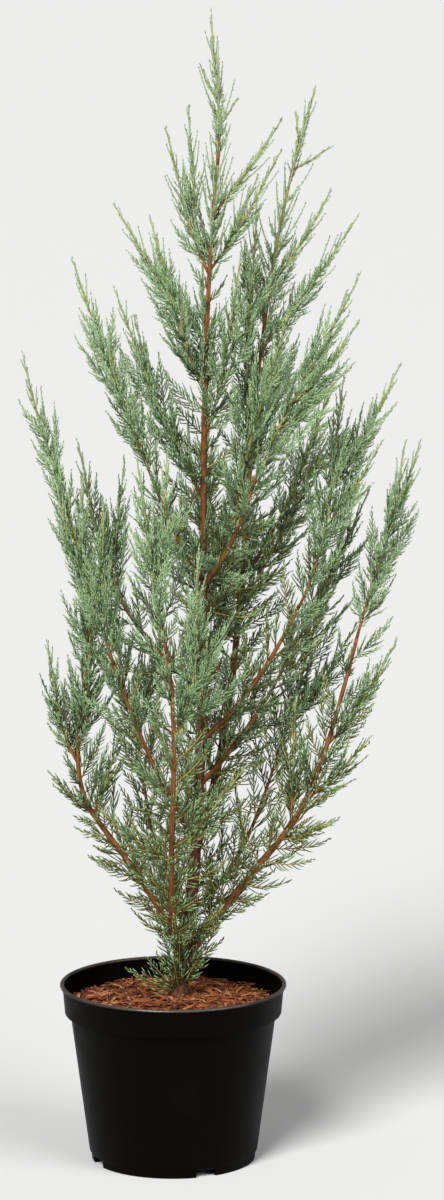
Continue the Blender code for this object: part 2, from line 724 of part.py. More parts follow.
def inside_crown(points):
    """Whether the points lie in the egg: round below its widest height, drawn to a point above it."""
    height = points[:, 2]
    below = np.clip((height - CROWN_FOOT) / (CROWN_WIDEST - CROWN_FOOT), 0, 1) ** CROWN_BELLY
    above = 1 - np.clip((height - CROWN_WIDEST) / (CROWN_TOP - CROWN_WIDEST), 0, 1) ** CROWN_POINT
    lean = CROWN_LEAN * np.clip((height - CROWN_LEAN_FROM) / (CROWN_LEAN_TO - CROWN_LEAN_FROM), 0, 1)
    reach = np.hypot(points[:, 0] - CROWN_FOOT_ACROSS - lean, points[:, 1] / CROWN_DEPTH)
    return bool((reach <= CROWN_RADIUS * np.minimum(below, above)).all())


class Space:
    """Says whether points stay nearer to one mass's stems than to the others', and clear of limbs."""

    def __init__(self, limbs, stems):
        self.places = {}
        for name, curves in stems.items():
            self.places[name] = np.concatenate([bezier(curve, np.linspace(0, 1, 41)) for curve in curves])
        pairs = [limb.samples(121) for limb in limbs.values()]
        self.limb_points = np.concatenate([pair[0] for pair in pairs])
        self.limb_radii = np.concatenate([pair[1] for pair in pairs])

    def holds(self, name, points):
        if not inside_crown(points):
            return False
        own = distance_to(points, self.places[name])
        others = np.concatenate([places for other, places in self.places.items() if other != name])
        if (distance_to(points, others) < own + SPACE_MARGIN).any():
            return False
        gaps = np.linalg.norm(points[:, None] - self.limb_points[None], axis=2) - self.limb_radii
        return bool((gaps > LIMB_CLEARANCE).all())


def rib_ring(centre, way, radius, face):
    """Three points round the curve: the top one towards the face vector, then left and right."""
    lift = side_of(way, face)
    across = np.cross(way, lift)
    return [centre + radius * (rise * lift + reach * across) for rise, reach in RIB_CORNERS]


def rib_shares(length, toothed_from, tooth):
    """Shares of the curve where its rings lie: far apart where it is bare, close where it is toothed."""
    toothed = max(3, round(length * (1 - toothed_from) / (tooth * TOOTH_SPACING)))
    shares = np.linspace(toothed_from, 1, toothed + 1)
    if toothed_from <= 0:
        return shares, 0
    bare = max(1, round(length * toothed_from / STEM_STEP))
    return np.concatenate([np.linspace(0, toothed_from, bare, endpoint=False), shares]), bare


def blade(handles, radii, face, tooth, toothed_from=0.0, foot=None):
    """A toothed spray or stem: a three-sided rib with a pair of thin teeth on each toothed stretch.

    Returns its points and faces. The teeth lie square to the face vector and lean forward. The foot,
    where one is given, is a ring of its own before the first.
    """
    shares, bare = rib_shares(run_length(handles), toothed_from, tooth)
    centres = bezier(handles, shares)
    ways = heading(handles, shares)
    grown = radii[0] + (radii[1] - radii[0]) * shares
    points = [] if foot is None else list(foot)
    for step in range(len(shares) - 1):
        points += rib_ring(centres[step], ways[step], grown[step], face)
    if foot is not None:
        shares, centres, ways = (np.concatenate([row[:1], row]) for row in (shares, centres, ways))
        bare += 1
    tip = len(points)
    points.append(centres[-1])
    faces = [(0, 1, 2)]
    for step in range(len(shares) - 2):
        top, left, right = step * 3, step * 3 + 1, step * 3 + 2
        top_on, left_on, right_on = top + 3, left + 3, right + 3
        faces += [(left, left_on, right_on), (left, right_on, right)]
        if step < bare:
            faces += [(top, top_on, left_on), (top, left_on, left)]
            faces += [(top, right, right_on), (top, right_on, top_on)]
            continue
        teeth = (len(points), len(points) + 1)
        size = tooth * tooth_size(step - bare, shares[step])
        points += tooth_pair(centres[step : step + 2], ways[step], face, size, shares[step])
        faces += [(top, teeth[0], left), (top, top_on, teeth[0]), (top_on, left_on, teeth[0])]
        faces += [(top, right, teeth[1]), (top, teeth[1], top_on), (top_on, teeth[1], right_on)]
        faces += [(left, teeth[0], left_on), (right, right_on, teeth[1])]
    top, left, right = tip - 3, tip - 2, tip - 1
    faces += [(top, tip, left), (top, right, tip), (left, tip, right)]
    return np.array(points), faces


def tooth_size(order, share):
    """Teeth shorten towards the tip, with every second or third one a little shorter."""
    return (1 - TOOTH_SHRINK * share) * (1 - TOOTH_UNEVEN + TOOTH_UNEVEN * math.cos(order * TOOTH_TURN))


def tooth_pair(centres, way, face, size, share):
    """The two tooth tips of a stretch of rib, one each side, bent a little out of its plane."""
    lift = side_of(way, face)
    across = np.cross(way, lift)
    root = (centres[0] + centres[1]) / 2
    angle = TOOTH_ANGLE_LOW + (TOOTH_ANGLE_HIGH - TOOTH_ANGLE_LOW) * share
    lean = math.cos(angle) * way
    spread = math.sin(angle) * across - TOOTH_BEND * lift
    return [root + size * (lean - spread), root + size * (lean + spread)]


def spray_handles(foot, stem_way, out, angle, length):
    """A spray's handles: it leaves the stem at the angle and curls up towards the stem's own way."""
    way = unit(stem_way * math.cos(angle) + out * math.sin(angle))
    turned_up = unit(way + CURL_UP * stem_way + CURL_UP / 2 * UP)
    bend = foot + way * length * SPRAY_BEND
    return foot, foot + way * length / 3, bend, bend + turned_up * length * (1 - SPRAY_BEND)


def sprays_on(name, handles, width, count, space, draw):
    """Toothed sprays round one stem, by the golden angle, each shortened or skipped to keep its space."""
    pieces = []
    turn = draw.uniform(0, 2 * math.pi)
    for order in range(count):
        share = SPRAY_BARE + (SPRAY_LAST - SPRAY_BARE) * (order + draw.uniform(0.2, 0.8)) / count
        way = heading(handles, share)[0]
        foot = bezier(handles, share)[0]
        u = side_of(way, UP)
        v = np.cross(way, u)
        angle = SET_OUT_LOW + (SET_OUT_HIGH - SET_OUT_LOW) * share
        for _ in range(BEARINGS_TRIED):
            out = math.cos(turn) * u + math.sin(turn) * v
            turn += GOLDEN_ANGLE
            face = unit(np.cross(way, out) * math.cos(order) + out * math.sin(order) * 0.7)
            full = width * SPRAY_LENGTH * (1 - SPRAY_TAPER * share)
            piece = kept_spray(name, foot, (way, out, angle), full, face, width * TOOTH_LENGTH, space)
            if piece:
                pieces.append(piece)
                break
    return pieces


def kept_spray(name, foot, setting, full, face, tooth, space):
    """The spray at its full length or the longest shorter one that keeps to the mass's space."""
    for shorter in SHORTER:
        handles = spray_handles(foot, *setting, full * shorter)
        points, faces = blade(handles, (RIB_RADIUS, RIB_TIP_RADIUS), face, tooth * (0.5 + 0.5 * shorter))
        if space.holds(name, points[3:]):
            return points, faces
    return None


def plane_of(handles):
    """The vector that the teeth of a stem lie square to: they show to the front."""
    return side_of(heading(handles, 0.5)[0], SHOWS_TO)


def stem_blade(handles, radius, limb, share, tooth):
    """The mass's stem: bare below, toothed towards its tip, its foot a gap clear of what carries it."""
    face = plane_of(handles)
    foot = None
    if share < 1.0:
        foot = foot_on(limb, share, handles, radius, lambda at, way: rib_ring(at, way, radius, face))
        handles = past_carrier(limb, share, handles, radius)
    return blade(handles, (radius, STEM_TIP_RADIUS), face, tooth, STEM_BARE, foot)


def tidy_solid(thing):
    """Keeps the one outer shell of the joined mass, without doubled points, scraps or sealed hollows."""
    mesh = bmesh.new()
    mesh.from_mesh(thing.data)
    bmesh.ops.triangulate(mesh, faces=mesh.faces)
    bmesh.ops.remove_doubles(mesh, verts=mesh.verts, dist=DOUBLED)
    shells = []
    left = set(mesh.faces)
    while left:
        shell = {left.pop()}
        edge_of = list(shell)
        while edge_of:
            face = edge_of.pop()
            near = {other for edge in face.edges for other in edge.link_faces} - shell
            shell |= near
            edge_of += near
        left -= shell
        shells.append(shell)
    shells.sort(key=len, reverse=True)
    scraps = [face for shell in shells[1:] for face in shell]
    bmesh.ops.delete(mesh, geom=scraps, context="FACES")
    loose = [vert for vert in mesh.verts if not vert.link_faces]
    bmesh.ops.delete(mesh, geom=loose, context="VERTS")
    whole = all(len(edge.link_faces) == 2 for edge in mesh.edges)
    bmesh.ops.recalc_face_normals(mesh, faces=mesh.faces)
    mesh.to_mesh(thing.data)
    mesh.free()
    thing.data.update()
    return whole


def mass(name, limb, share, curves, width, count, space, order):
    """One mass: its stem, side shoots and sprays, joined into one closed solid."""
    draw = np.random.default_rng(FIRST_SEED + order)
    radius = min(STEM_RADIUS, limb.radius(share) * MOST_STEM_SHARE) if share < 1.0 else limb.radii[1]
    parts = sprays_on(name, curves[0], width, count, space, draw)
    tooth = width * STEM_TOOTH_LENGTH
    for curve in curves[1:]:
        parts.append(blade(curve, (RIB_RADIUS, STEM_TIP_RADIUS), plane_of(curve), tooth, SHOOT_BARE))
    for solver in ("EXACT", "MANIFOLD", "EXACT", "MANIFOLD"):
        thing = object_from(name, *stem_blade(curves[0], radius, limb, share, tooth), juniper_foliage())
        others = [object_from("spray", points, faces, juniper_foliage()) for points, faces in parts]
        apply_boolean(thing, "UNION", others, solver)
        if tidy_solid(thing):
            return thing
        bpy.data.objects.remove(thing, do_unlink=True)
        if solver == "MANIFOLD":
            parts = parts[1:]
    raise RuntimeError(name + " did not join into one closed solid")


def main():
    clear_scene()
    pot()
    root_ball()
    bark_mulch()
    limbs = grow_limbs()
    stems = main_stems(limbs)
    space = Space(limbs, stems)
    for order, (name, carrier, share, tip, shoots, width, count) in enumerate(MASSES):
        mass(name, limbs[carrier], share, stems[name], width, count, space, order)


main()
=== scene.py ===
"""Dresses a rocky mountain juniper in a round nursery pot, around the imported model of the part.

Metres, +Z up. The origin is the centre of the pot's flat underside, -Y is the front and +X the right.
The plant grows by one rule, used again at each order of branching: a shoot is a cubic curve that leaves
its parent at an angle, turns up towards the parent's own way, and is as long as what is left of the
parent past it allows.
"""

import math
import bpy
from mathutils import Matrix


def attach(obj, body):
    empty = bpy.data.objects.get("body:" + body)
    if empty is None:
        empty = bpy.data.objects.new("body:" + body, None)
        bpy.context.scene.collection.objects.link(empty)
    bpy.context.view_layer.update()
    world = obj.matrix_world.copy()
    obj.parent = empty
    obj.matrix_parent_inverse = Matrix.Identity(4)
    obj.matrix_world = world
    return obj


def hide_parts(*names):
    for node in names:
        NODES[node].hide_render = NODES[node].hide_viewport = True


bl_info = {
    "name": "Potted juniper",
    "version": (1, 0, 0),
    "blender": (4, 5, 0),
    "location": "3D View > Sidebar > Juniper",
    "description": "Builds a rocky mountain juniper in a nursery pot on a plain studio floor",
    "category": "Object",
}

from dataclasses import dataclass

import bpy
import numpy as np
from bpy.props import FloatProperty, FloatVectorProperty, IntProperty, PointerProperty

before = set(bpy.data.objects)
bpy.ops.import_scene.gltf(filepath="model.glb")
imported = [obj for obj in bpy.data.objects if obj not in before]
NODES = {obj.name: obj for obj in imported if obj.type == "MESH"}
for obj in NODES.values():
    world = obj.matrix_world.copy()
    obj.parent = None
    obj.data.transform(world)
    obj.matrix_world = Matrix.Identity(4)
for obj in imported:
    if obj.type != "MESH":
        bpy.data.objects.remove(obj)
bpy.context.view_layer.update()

# Pot, as the part has it
POT_HEIGHT = 0.222
RIM_RADIUS = 0.140
COLLAR_TOP_RADIUS = 0.1365
COLLAR_FOOT_RADIUS = 0.1338
COLLAR_HEIGHT = 0.033
BODY_TOP_RADIUS = 0.1269
BODY_FOOT_RADIUS = 0.104
FOOT_RADIUS = 0.1012
FOOT_HEIGHT = 0.010
WALL = 0.002
FLOOR = 0.003
LIP_HEIGHT = 0.0055
LIP_WIDEST = 0.0030
DRAIN_PAD_RADIUS = 0.076
DRAIN_ROOF = 0.008
FOOT_RING = 0.005
NOTCH_WIDTH = 0.027
NOTCH_HEIGHT = 0.0085
NOTCHES = np.radians(np.array((-66, 24, 114, 204)) - 90)
NOTCH_EDGE = 0.0016

# Pot: height of the step under the collar, and how far the outline's steps are out of square
STEP_HEIGHT = POT_HEIGHT - COLLAR_HEIGHT - LIP_HEIGHT
DRAIN_SLOPE = 0.002
FOOT_SLOPE = 0.001
DRAFT = 0.0006
STEP_SLOPE = 0.0015
INNER_STEP = 0.4
PAD_EDGE = 0.004
PAD_FOOT = 0.010
LIP_ROUND = 0.0012

# Pot: reach of a softened corner, the most of a side that it takes and its steps, steps over the lip,
# columns round the pot and those at a notch's edge, and how far past the foot ring and to its roof it cuts.
CORNER = 0.0008
MOST_OF_SIDE = 0.45
CORNER_STEPS = 2
LIP_STEPS = 8
POT_COLUMNS = 144
EDGE_SHARES = np.array((0.0, 0.33, 0.66, 1.0))
RING_EDGE = 0.0012
ROOF_GAP = 0.0004
SHARP_ANGLE = math.radians(40)

# Pot's plastic: how many times paler dust and the two tones of the lip's painted highlight are, and the parts
# of the lip's height below its top between which the painted highlight begins.
DUSTY = 2.0
LIP_HIGHLIGHT_TONES = (38.0, 20.0)
LIP_HIGHLIGHT_PART = (0.6, 0.2)

# Mulch: its mound, and its lumps as waves, each radians a metre and shift; the slant ones have a size and
# the waves of x and of y.
MULCH_TOP = 0.2046
MULCH_DEPTH = 0.016
MULCH_FALL = 0.0095
MULCH_ROUND = 2.2
MULCH_LUMP = 0.0016
LUMP_WAVES = ((310, 1.3), (270, 0.4))
SLANT_WAVES = (0.6, 520, 430, 2.1)
MULCH_FOOT = (0.006, 0.0)
LANDING_RADIUS = 0.022

# Bed under the chips: gap to the wall, height over the root ball, depth under the mulch's top, its mesh
BED_GAP = 0.0006
BED_LIFT = 0.0004
BED_BELOW = 0.0022
BED_ROWS = 30
BED_COLUMNS = 96

# Chips: name, share and highest lift of each kind; shape and scale of their lengths, with the least and
# the most; widths, with how they grow with length; least and most width of each cross-section, where one
# is full.
MULCH_SEED = 77
CHIP_KINDS = (("red", 0.52, 0.0014), ("brown", 0.34, 0.0014), ("tan", 0.14, 0.0022))
CHIP_LENGTHS = (3.5, 0.0040, 0.005, 0.030)
CHIP_WIDTHS = (0.0014, 0.0050)
CHIP_WIDENS = (0.6, 22)
CHIP_THICKNESS = (0.0005, 0.0014)
CHIP_SECTIONS = np.array((-0.5, -0.22, 0.2, 0.5))
CHIP_CORNERS = np.array([(-0.5, -0.5), (0.5, -0.5), (0.5, 0.5), (-0.5, 0.5)])
CHIP_TAPERS = ((0.15, 0.8), None, (0.8, 1.1), (0.1, 0.7))

# Chips: how far their lines bend, slip and skew, how they lie, and how far they stay from the wall
CHIP_BEND = 0.10
CHIP_SLIP = 0.04
CHIP_SKEW = 0.25
CHIP_SINKS = 0.0016
CHIP_TILT = 0.16
CHIP_ROLL = 0.5
CHIP_GAP = 0.0015
CHIP_INSIDE = 0.42

# Trunk: foot, two handles and tip, with the radius at each end
TRUNK = (
    (0.006, 0.0, MULCH_TOP),
    (0.058, 0.004, 0.50),
    (0.020, -0.003, 0.88),
    (0.055, 0.0, 1.231),
)
TRUNK_RADII = (0.0088, 0.0018)
TRUNK_FLARE = 0.0037
FLARE_HEIGHT = 0.014

# Bark's colours: radius of limbs with young and with old bark, and radius and height of fresh bark
YOUNG_RADIUS = 0.0020
OLD_RADIUS = 0.0080
FRESH_RADIUS = 0.0023
FRESH_SPAN = 0.0003
FRESH_FROM = 0.95
FRESH_RISE = 0.10

# Bark's relief: three noises, each with its cells round the limb, their length along it and how many cells
# it turns in a metre, and the depth of the last two. A limb is drawn thinner, since relief is added.
SLIM_BARK = 0.94
BARK_NOISE = ((9, 0.021, 9.0), (16, 0.0065, 9.0), (3, 0.050, 0.0))
FINE_DEPTH = 0.45
SLOW_DEPTH = 0.10

# Bark's mesh: rings that lie level at the trunk's foot, a collar where a bough leaves its carrier, a blunt
# tip, and the seed of each limb's noise, which also shifts its map.
BARK_STEP = 0.0035
BARK_SIDES = 16
FEWEST_RINGS = 6
LEVEL_FOOT = 4
LEVEL_FALL = 40
BRANCH_COLLAR = 0.35
BRANCH_COLLAR_LENGTH = 0.012
BLUNT_TIP = 0.5
LATTICE_ROWS = 256
TRUNK_SEED = 3
BOUGH_SEED = 40
SEED_STEP = 7
SEED_SHIFT = 0.37

# Limbs: name, carrier, share of the carrier where it sets out, tip, how far its first and second
# handles are carried from the straight run, foot and tip radius.
LIMBS = (
    ("right_leader", "trunk", 0.20, (0.143, 0.050, 1.209),
     (0.040, 0.050, -0.058), (-0.034, 0.004, -0.040), 0.0054, 0.0017),
    ("left_bough", "trunk", 0.055, (-0.105, -0.030, 0.617),
     (-0.064, -0.012, 0.106), (-0.073, -0.004, -0.098), 0.0042, 0.0024),
    ("right_bough", "trunk", 0.045, (0.224, -0.030, 0.659),
     (0.070, -0.014, 0.078), (0.000, -0.010, -0.148), 0.0050, 0.0024),
    ("front_stem", "trunk", 0.030, (-0.006, -0.140, 0.660),
     (-0.023, -0.045, -0.010), (0.018, -0.040, 0.008), 0.0046, 0.0024),
    ("left_inner_bough", "trunk", 0.22, (-0.070, -0.080, 0.635),
     (-0.004, -0.024, -0.025), (-0.004, -0.010, -0.015), 0.0034, 0.0021),
    ("right_lower_bough", "trunk", 0.28, (0.125, -0.004, 0.598),
     (0.000, 0.004, -0.012), (0.004, 0.000, -0.008), 0.0036, 0.0023),
    ("right_middle_bough", "trunk", 0.335, (0.152, -0.036, 0.695),
     (0.006, -0.014, -0.016), (0.006, -0.006, -0.012), 0.0036, 0.0023),
    ("right_front_bough", "trunk", 0.52, (0.096, -0.080, 0.848),
     (0.006, -0.010, -0.010), (0.004, -0.006, -0.006), 0.0034, 0.0021),
    ("right_back_bough", "trunk", 0.49, (0.125, 0.030, 0.785),
     (0.004, -0.026, -0.012), (0.006, -0.012, -0.010), 0.0030, 0.0020),
    ("left_upper_bough", "trunk", 0.53, (-0.022, -0.042, 0.852),
     (-0.004, -0.006, -0.010), (-0.003, -0.003, -0.006), 0.0030, 0.0020),
    ("left_back_bough", "trunk", 0.40, (-0.050, 0.066, 0.665),
     (-0.006, 0.008, -0.012), (-0.004, 0.006, -0.008), 0.0032, 0.0021),
    ("back_bough", "trunk", 0.33, (0.038, 0.096, 0.610),
     (0.000, 0.014, -0.018), (0.000, 0.010, -0.012), 0.0036, 0.0021),
    ("back_low_bough", "trunk", 0.10, (-0.032, 0.100, 0.420),
     (-0.008, 0.016, -0.022), (-0.006, 0.010, -0.014), 0.0038, 0.0022),
    ("back_right_low_bough", "trunk", 0.12, (0.110, 0.092, 0.430),
     (0.010, 0.012, -0.024), (0.008, 0.008, -0.018), 0.0038, 0.0022),
)

# Masses: name, carrier, share of the carrier (1 is its tip), tip, side shoots (share of the stem where
# one leaves it, and its tip), half width.
MASSES = (
    ("leader_tip", "trunk", 1.0, (0.047, 0.000, 1.417),
     ((0.25, (0.079, -0.008, 1.312)), (0.40, (0.034, 0.008, 1.350))), 0.026),
    ("top_left_plume", "trunk", 0.875, (-0.008, 0.000, 1.279),
     ((0.30, (0.020, -0.016, 1.307)),), 0.032),
    ("top_right_plume", "trunk", 0.945, (0.134, 0.012, 1.288), (), 0.026),
    ("upper_right_plume", "trunk", 0.88, (0.132, -0.032, 1.254),
     ((0.30, (0.104, -0.022, 1.222)),), 0.032),
    ("centre_plume", "trunk", 0.69, (0.084, -0.050, 1.132), (), 0.049),
    ("left_centre_plume", "trunk", 0.74, (-0.027, -0.045, 1.177),
     ((0.30, (0.012, -0.060, 1.092)),), 0.049),
    ("left_high_plume", "trunk", 0.80, (-0.071, 0.012, 1.185), (), 0.038),
    ("left_top_plume", "trunk", 0.62, (-0.071, -0.024, 1.090),
     ((0.45, (-0.047, 0.010, 1.051)),), 0.036),
    ("back_high_plume", "trunk", 0.74, (0.036, 0.085, 1.120), (), 0.049),
    ("right_inner_plume", "trunk", 0.425, (0.190, -0.010, 0.905), (), 0.056),
    ("front_foot_spray", "trunk", 0.075, (0.061, -0.075, 0.335),
     ((0.30, (0.012, -0.085, 0.300)),), 0.040),
    ("back_foot_spray", "trunk", 0.085, (-0.032, 0.070, 0.300), (), 0.034),
    ("right_leader_tip", "right_leader", 1.0, (0.174, 0.050, 1.325),
     ((0.10, (0.190, 0.030, 1.250)), (0.35, (0.150, 0.060, 1.290))), 0.026),
    ("right_leader_side_spray", "right_leader", 0.86, (0.193, 0.026, 1.200), (), 0.030),
    ("right_leader_outer_plume", "right_leader", 0.78, (0.227, 0.060, 1.167), (), 0.030),
    ("right_leader_inner_plume", "right_leader", 0.64, (0.103, 0.022, 1.198), (), 0.043),
    ("right_leader_back_plume", "right_leader", 0.60, (0.150, 0.130, 1.080), (), 0.049),
    ("right_front_plume", "right_front_bough", 1.0, (0.226, -0.100, 1.116),
     ((0.40, (0.224, -0.130, 1.060)), (0.28, (0.219, -0.128, 1.010))), 0.046),
    ("right_front_inner_plume", "right_front_bough", 0.62, (0.140, -0.140, 1.080), (), 0.049),
    ("right_back_plume", "right_back_bough", 1.0, (0.205, 0.085, 0.985),
     ((0.30, (0.230, 0.110, 0.900)),), 0.056),
    ("right_middle_plume", "right_middle_bough", 1.0, (0.208, -0.050, 0.989),
     ((0.50, (0.276, -0.030, 0.997)), (0.36, (0.254, -0.075, 0.910))), 0.052),
    ("right_lower_plume", "right_lower_bough", 1.0, (0.242, 0.020, 0.840), (), 0.056),
    ("right_outer_plume", "right_bough", 1.0, (0.301, -0.020, 0.904),
     ((0.50, (0.281, -0.052, 0.906)),), 0.045),
    ("right_outer_spray", "right_bough", 0.80, (0.273, -0.060, 0.664), (), 0.042),
    ("right_low_spray", "right_bough", 0.62, (0.242, -0.070, 0.547), (), 0.050),
    ("right_foot_spray", "right_bough", 0.42, (0.194, -0.080, 0.440),
     ((0.30, (0.160, -0.100, 0.420)),), 0.050),
    ("right_low_inner_spray", "right_bough", 0.50, (0.150, -0.045, 0.590), (), 0.056),
    ("left_outer_plume", "left_bough", 1.0, (-0.181, -0.020, 1.012),
     ((0.30, (-0.142, -0.045, 0.860)),), 0.036),
    ("left_second_plume", "left_bough", 0.80, (-0.108, -0.045, 0.869), (), 0.040),
    ("left_side_spray", "left_bough", 0.76, (-0.153, -0.030, 0.657), (), 0.038),
    ("left_low_spray", "left_bough", 0.52, (-0.150, -0.060, 0.500), (), 0.048),
    ("left_low_inner_spray", "left_bough", 0.50, (-0.060, -0.055, 0.560), (), 0.052),
    ("left_inner_plume", "left_inner_bough", 1.0, (-0.082, -0.100, 0.846), (), 0.046),
    ("left_upper_plume", "left_upper_bough", 1.0, (-0.120, -0.060, 1.129),
     ((0.40, (-0.075, -0.075, 1.024)),), 0.042),
    ("left_back_plume", "left_back_bough", 1.0, (-0.119, 0.085, 0.889),
     ((0.25, (-0.060, 0.120, 0.860)),), 0.056),
    ("front_plume", "front_stem", 1.0, (-0.041, -0.130, 0.898),
     ((0.35, (-0.004, -0.135, 0.912)),), 0.054),
    ("front_right_plume", "front_stem", 0.74, (0.034, -0.170, 0.799), (), 0.052),
    ("front_low_right_spray", "front_stem", 0.42, (0.088, -0.150, 0.525), (), 0.054),
    ("front_low_left_spray", "front_stem", 0.38, (-0.088, -0.150, 0.474), (), 0.054),
    ("back_plume", "back_bough", 1.0, (0.040, 0.185, 0.930),
     ((0.30, (0.100, 0.175, 0.840)),), 0.060),
    ("back_low_plume", "back_low_bough", 1.0, (-0.090, 0.160, 0.720),
     ((0.30, (-0.010, 0.190, 0.650)),), 0.058),
    ("back_right_low_plume", "back_right_low_bough", 1.0, (0.200, 0.150, 0.740),
     ((0.30, (0.230, 0.090, 0.660)),), 0.058),
)

# Crown: the egg that the shoots keep inside. Its axis leans to the right between two heights, it is
# less deep than wide, and its foot is a cone round a tuft. Shoots near their own stem may be outside it.
CROWN_FOOT_ACROSS = 0.015
CROWN_LEAN = 0.055
CROWN_LEAN_FROM = 0.22
CROWN_LEAN_TO = 0.68
CROWN_RADIUS = 0.246
CROWN_DEPTH = 0.90
CROWN_FOOT = 0.232
CROWN_WIDEST = 0.93
CROWN_TOP = 1.42
CROWN_BELLY = 0.30
CROWN_POINT = 1.2
CONE_FOOT = 0.247
CONE_SLOPE = 1.08
TUFT_FOOT = 0.213
TUFT_TOP = 0.260
TUFT_RADIUS = 0.042
OUTSIDE_CROWN = 0.022

# How stems set out, as the part has it
SET_OUT_WIDE = 0.30
LEAST_SET_OUT = math.radians(28)
TIP_RISE = 0.12
HANDLE_SHARE = 0.36

# How the finer shoots curl up, stand on their parents and vary
GOLDEN_ANGLE = math.radians(137.50776)
CURL_UP = 0.55
TURN_UP = 0.42
SHOOT_BEND = 0.62
ROLL = 0.42
FLATTENED = 0.7
CROWDING = 1.15
LEAST_VIGOUR = 0.30
PLACE_VARIES = (0.2, 0.8)
ANGLE_VARIES = 0.07
LENGTH_VARIES = (0.60, 1.0)

# Dark shoots open wider and are shorter. The bare whip of a leading shoot is longer, with knobs among its
# side shoots, and whips come only from some height on.
OPEN_LOW = 1.0
SHORT_LOW = 0.20
SUB_WHIPS = 0.90
LEADING_WHIP = 4.0
WHIP_FROM = 0.45
WHIP_RISE = 0.40

# Rules of growth, as the class Rule tells them
GROWTH = {
    "sprays": dict(span=(0.04, 0.97), reach=0.20, whip=0.012),
    "inner": dict(span=(0.02, 0.98), angles=(26, 60), reach=0.50, lengths=(0.030, 0.32, 0.100), beyond=0.16),
    "whips": dict(reach=0.12, lengths=(0.055, 0.35, 0.095)),
    "low": dict(spacing=0.0085, angles=(24, 46), reach=0.30, lengths=(0.040, 0.10, 0.085)),
    "stem_twigs": dict(spacing=0.0040, span=(0.04, 0.99), angles=(20, 34), reach=0.08,
                       lengths=(0.0052, 0.25, 0.026), whip=0.030),
    "twigs": dict(span=(0.06, 0.97), angles=(15, 28), reach=0.06, lengths=(0.0042, 0.45, 0.034), whip=0.006,
                  young=0.13, round_stem=False, paler=0.80),
    "branchlets": dict(span=(0.08, 0.96), angles=(15, 28), reach=0.025, lengths=(0.0028, 0.42, 0.0125),
                       young=0.03, round_stem=False),
}

# Sprays of a mass: angles at its tip and foot, least length, share of what is left, and the most as a
# multiple of the mass's half width. In slim masses they are longer and stand closer to the stem's way.
SPRAY_ANGLES = (12, 32)
SPRAY_LENGTHS = (0.010, 0.60, 2.2)
SLIM_WIDTH = 0.026
WIDE_WIDTH = 0.050
SLIM_LONGER = 0.25
SLIM_CLOSER = 0.40

# Inner sprays: the share of their length that they lose from one height to another
INNER_SHRINKS = 0.65
SHRINKS_FROM = 0.92
SHRINKS_OVER = 0.20

# Whips along the leaders' ends: limb, mass, spacing, first share of the limb, angles
WHIPS = (
    ("trunk", "leader_tip", 0.0045, 0.88, (15, 31)),
    ("right_leader", "right_leader_tip", 0.0062, 0.80, (15, 33)),
)
WHIPS_END = 0.998

# Sprays low on the boughs: limb, and the shares of it between which they stand
LOW_SPRAYS = (("front_stem", (0.10, 0.45)), ("left_bough", (0.08, 0.32)), ("right_bough", (0.08, 0.22)))

# Small sprays in front of the trunk's foot: share of the trunk where one leaves it, and its tip
FOOT_SPRAYS = (
    (0.012, (0.061, -0.045, 0.319)),
    (0.010, (0.040, -0.036, 0.282)),
    (0.016, (0.008, -0.054, 0.306)),
    (0.020, (-0.012, -0.052, 0.300)),
    (0.008, (-0.034, -0.032, 0.264)),
    (0.005, (-0.060, -0.034, 0.250)),
    (0.008, (0.000, -0.052, 0.274)),
    (0.026, (0.002, -0.066, 0.326)),
    (0.024, (-0.022, -0.050, 0.318)),
)

# Branchlets: the least twig that bears them, and their chance, which is tone times the second number less
# the first. It is smaller low in the crown, where the foliage is simpler.
BEARING_TWIG = 0.005
BEARING_TONES = (0.60, 2.6)
SIMPLE_BELOW = 0.28
SIMPLE_OVER = 0.35
LEAST_BRANCHED = 0.15

# Room that shoots keep from other masses and from limbs, the shares of their full length that are tried,
# and the shares along them that are looked at.
SHORTER = (1.0, 0.8, 0.62, 0.48, 0.35)
TRIED_AT = np.array((0.35, 0.6, 0.8, 1.0))
SPRAY_CLEAR_AT = np.array((0.5, 0.75, 1.0))
TWIG_CLEAR_AT = np.array((0.5, 1.0))
SPACE_MARGIN = 0.0012
LIMB_CLEARANCE = 0.0015
STEM_SAMPLES = 41
LIMB_SAMPLES = 161
FAR = 1e3
BLOCK = 20000

# Tone: rows of weight, value where it starts and run over which it grows, downwards where below 0. Part of
# the tone is
# painted light and shade: the front is painted lit, the top and outside are partly painted lighter, the foot
# and the low right side are painted in shade, and the front of the foot is painted lit.
TONE_HIGH = (0.62, 0.25, 1.05)
FRONT_LIT_TONE = (0.10, 0.20, -0.40)
TONE_OUT = 0.30
SHADED_FOOT = (0.34, 0.52, -0.22)
SHADED_SIDE = (0.26, 0.62, -0.22)
SIDE_ACROSS = 0.20
LIT_FOOT = (0.42, 0.34, -0.04)
LIT_DEPTH = -0.04
LEAST_CROWN = 0.03

# Tone: how it varies, how much paler branchlets are, and which shoots near the tips of masses lead: those
# nearer than the length, which is longer in slender masses.
TONE_VARIES = 0.08
TWIG_VARIES = 0.10
BRANCHLET_VARIES = 0.15
TIP_PALER = 0.10
LEADING_TONE = 1.2
LEADING_TIP = 0.100
LEADING_WIDTH = 0.045
LEADING_POWER = 1.5
LEADING_VARIES = (0.5, 1.3)

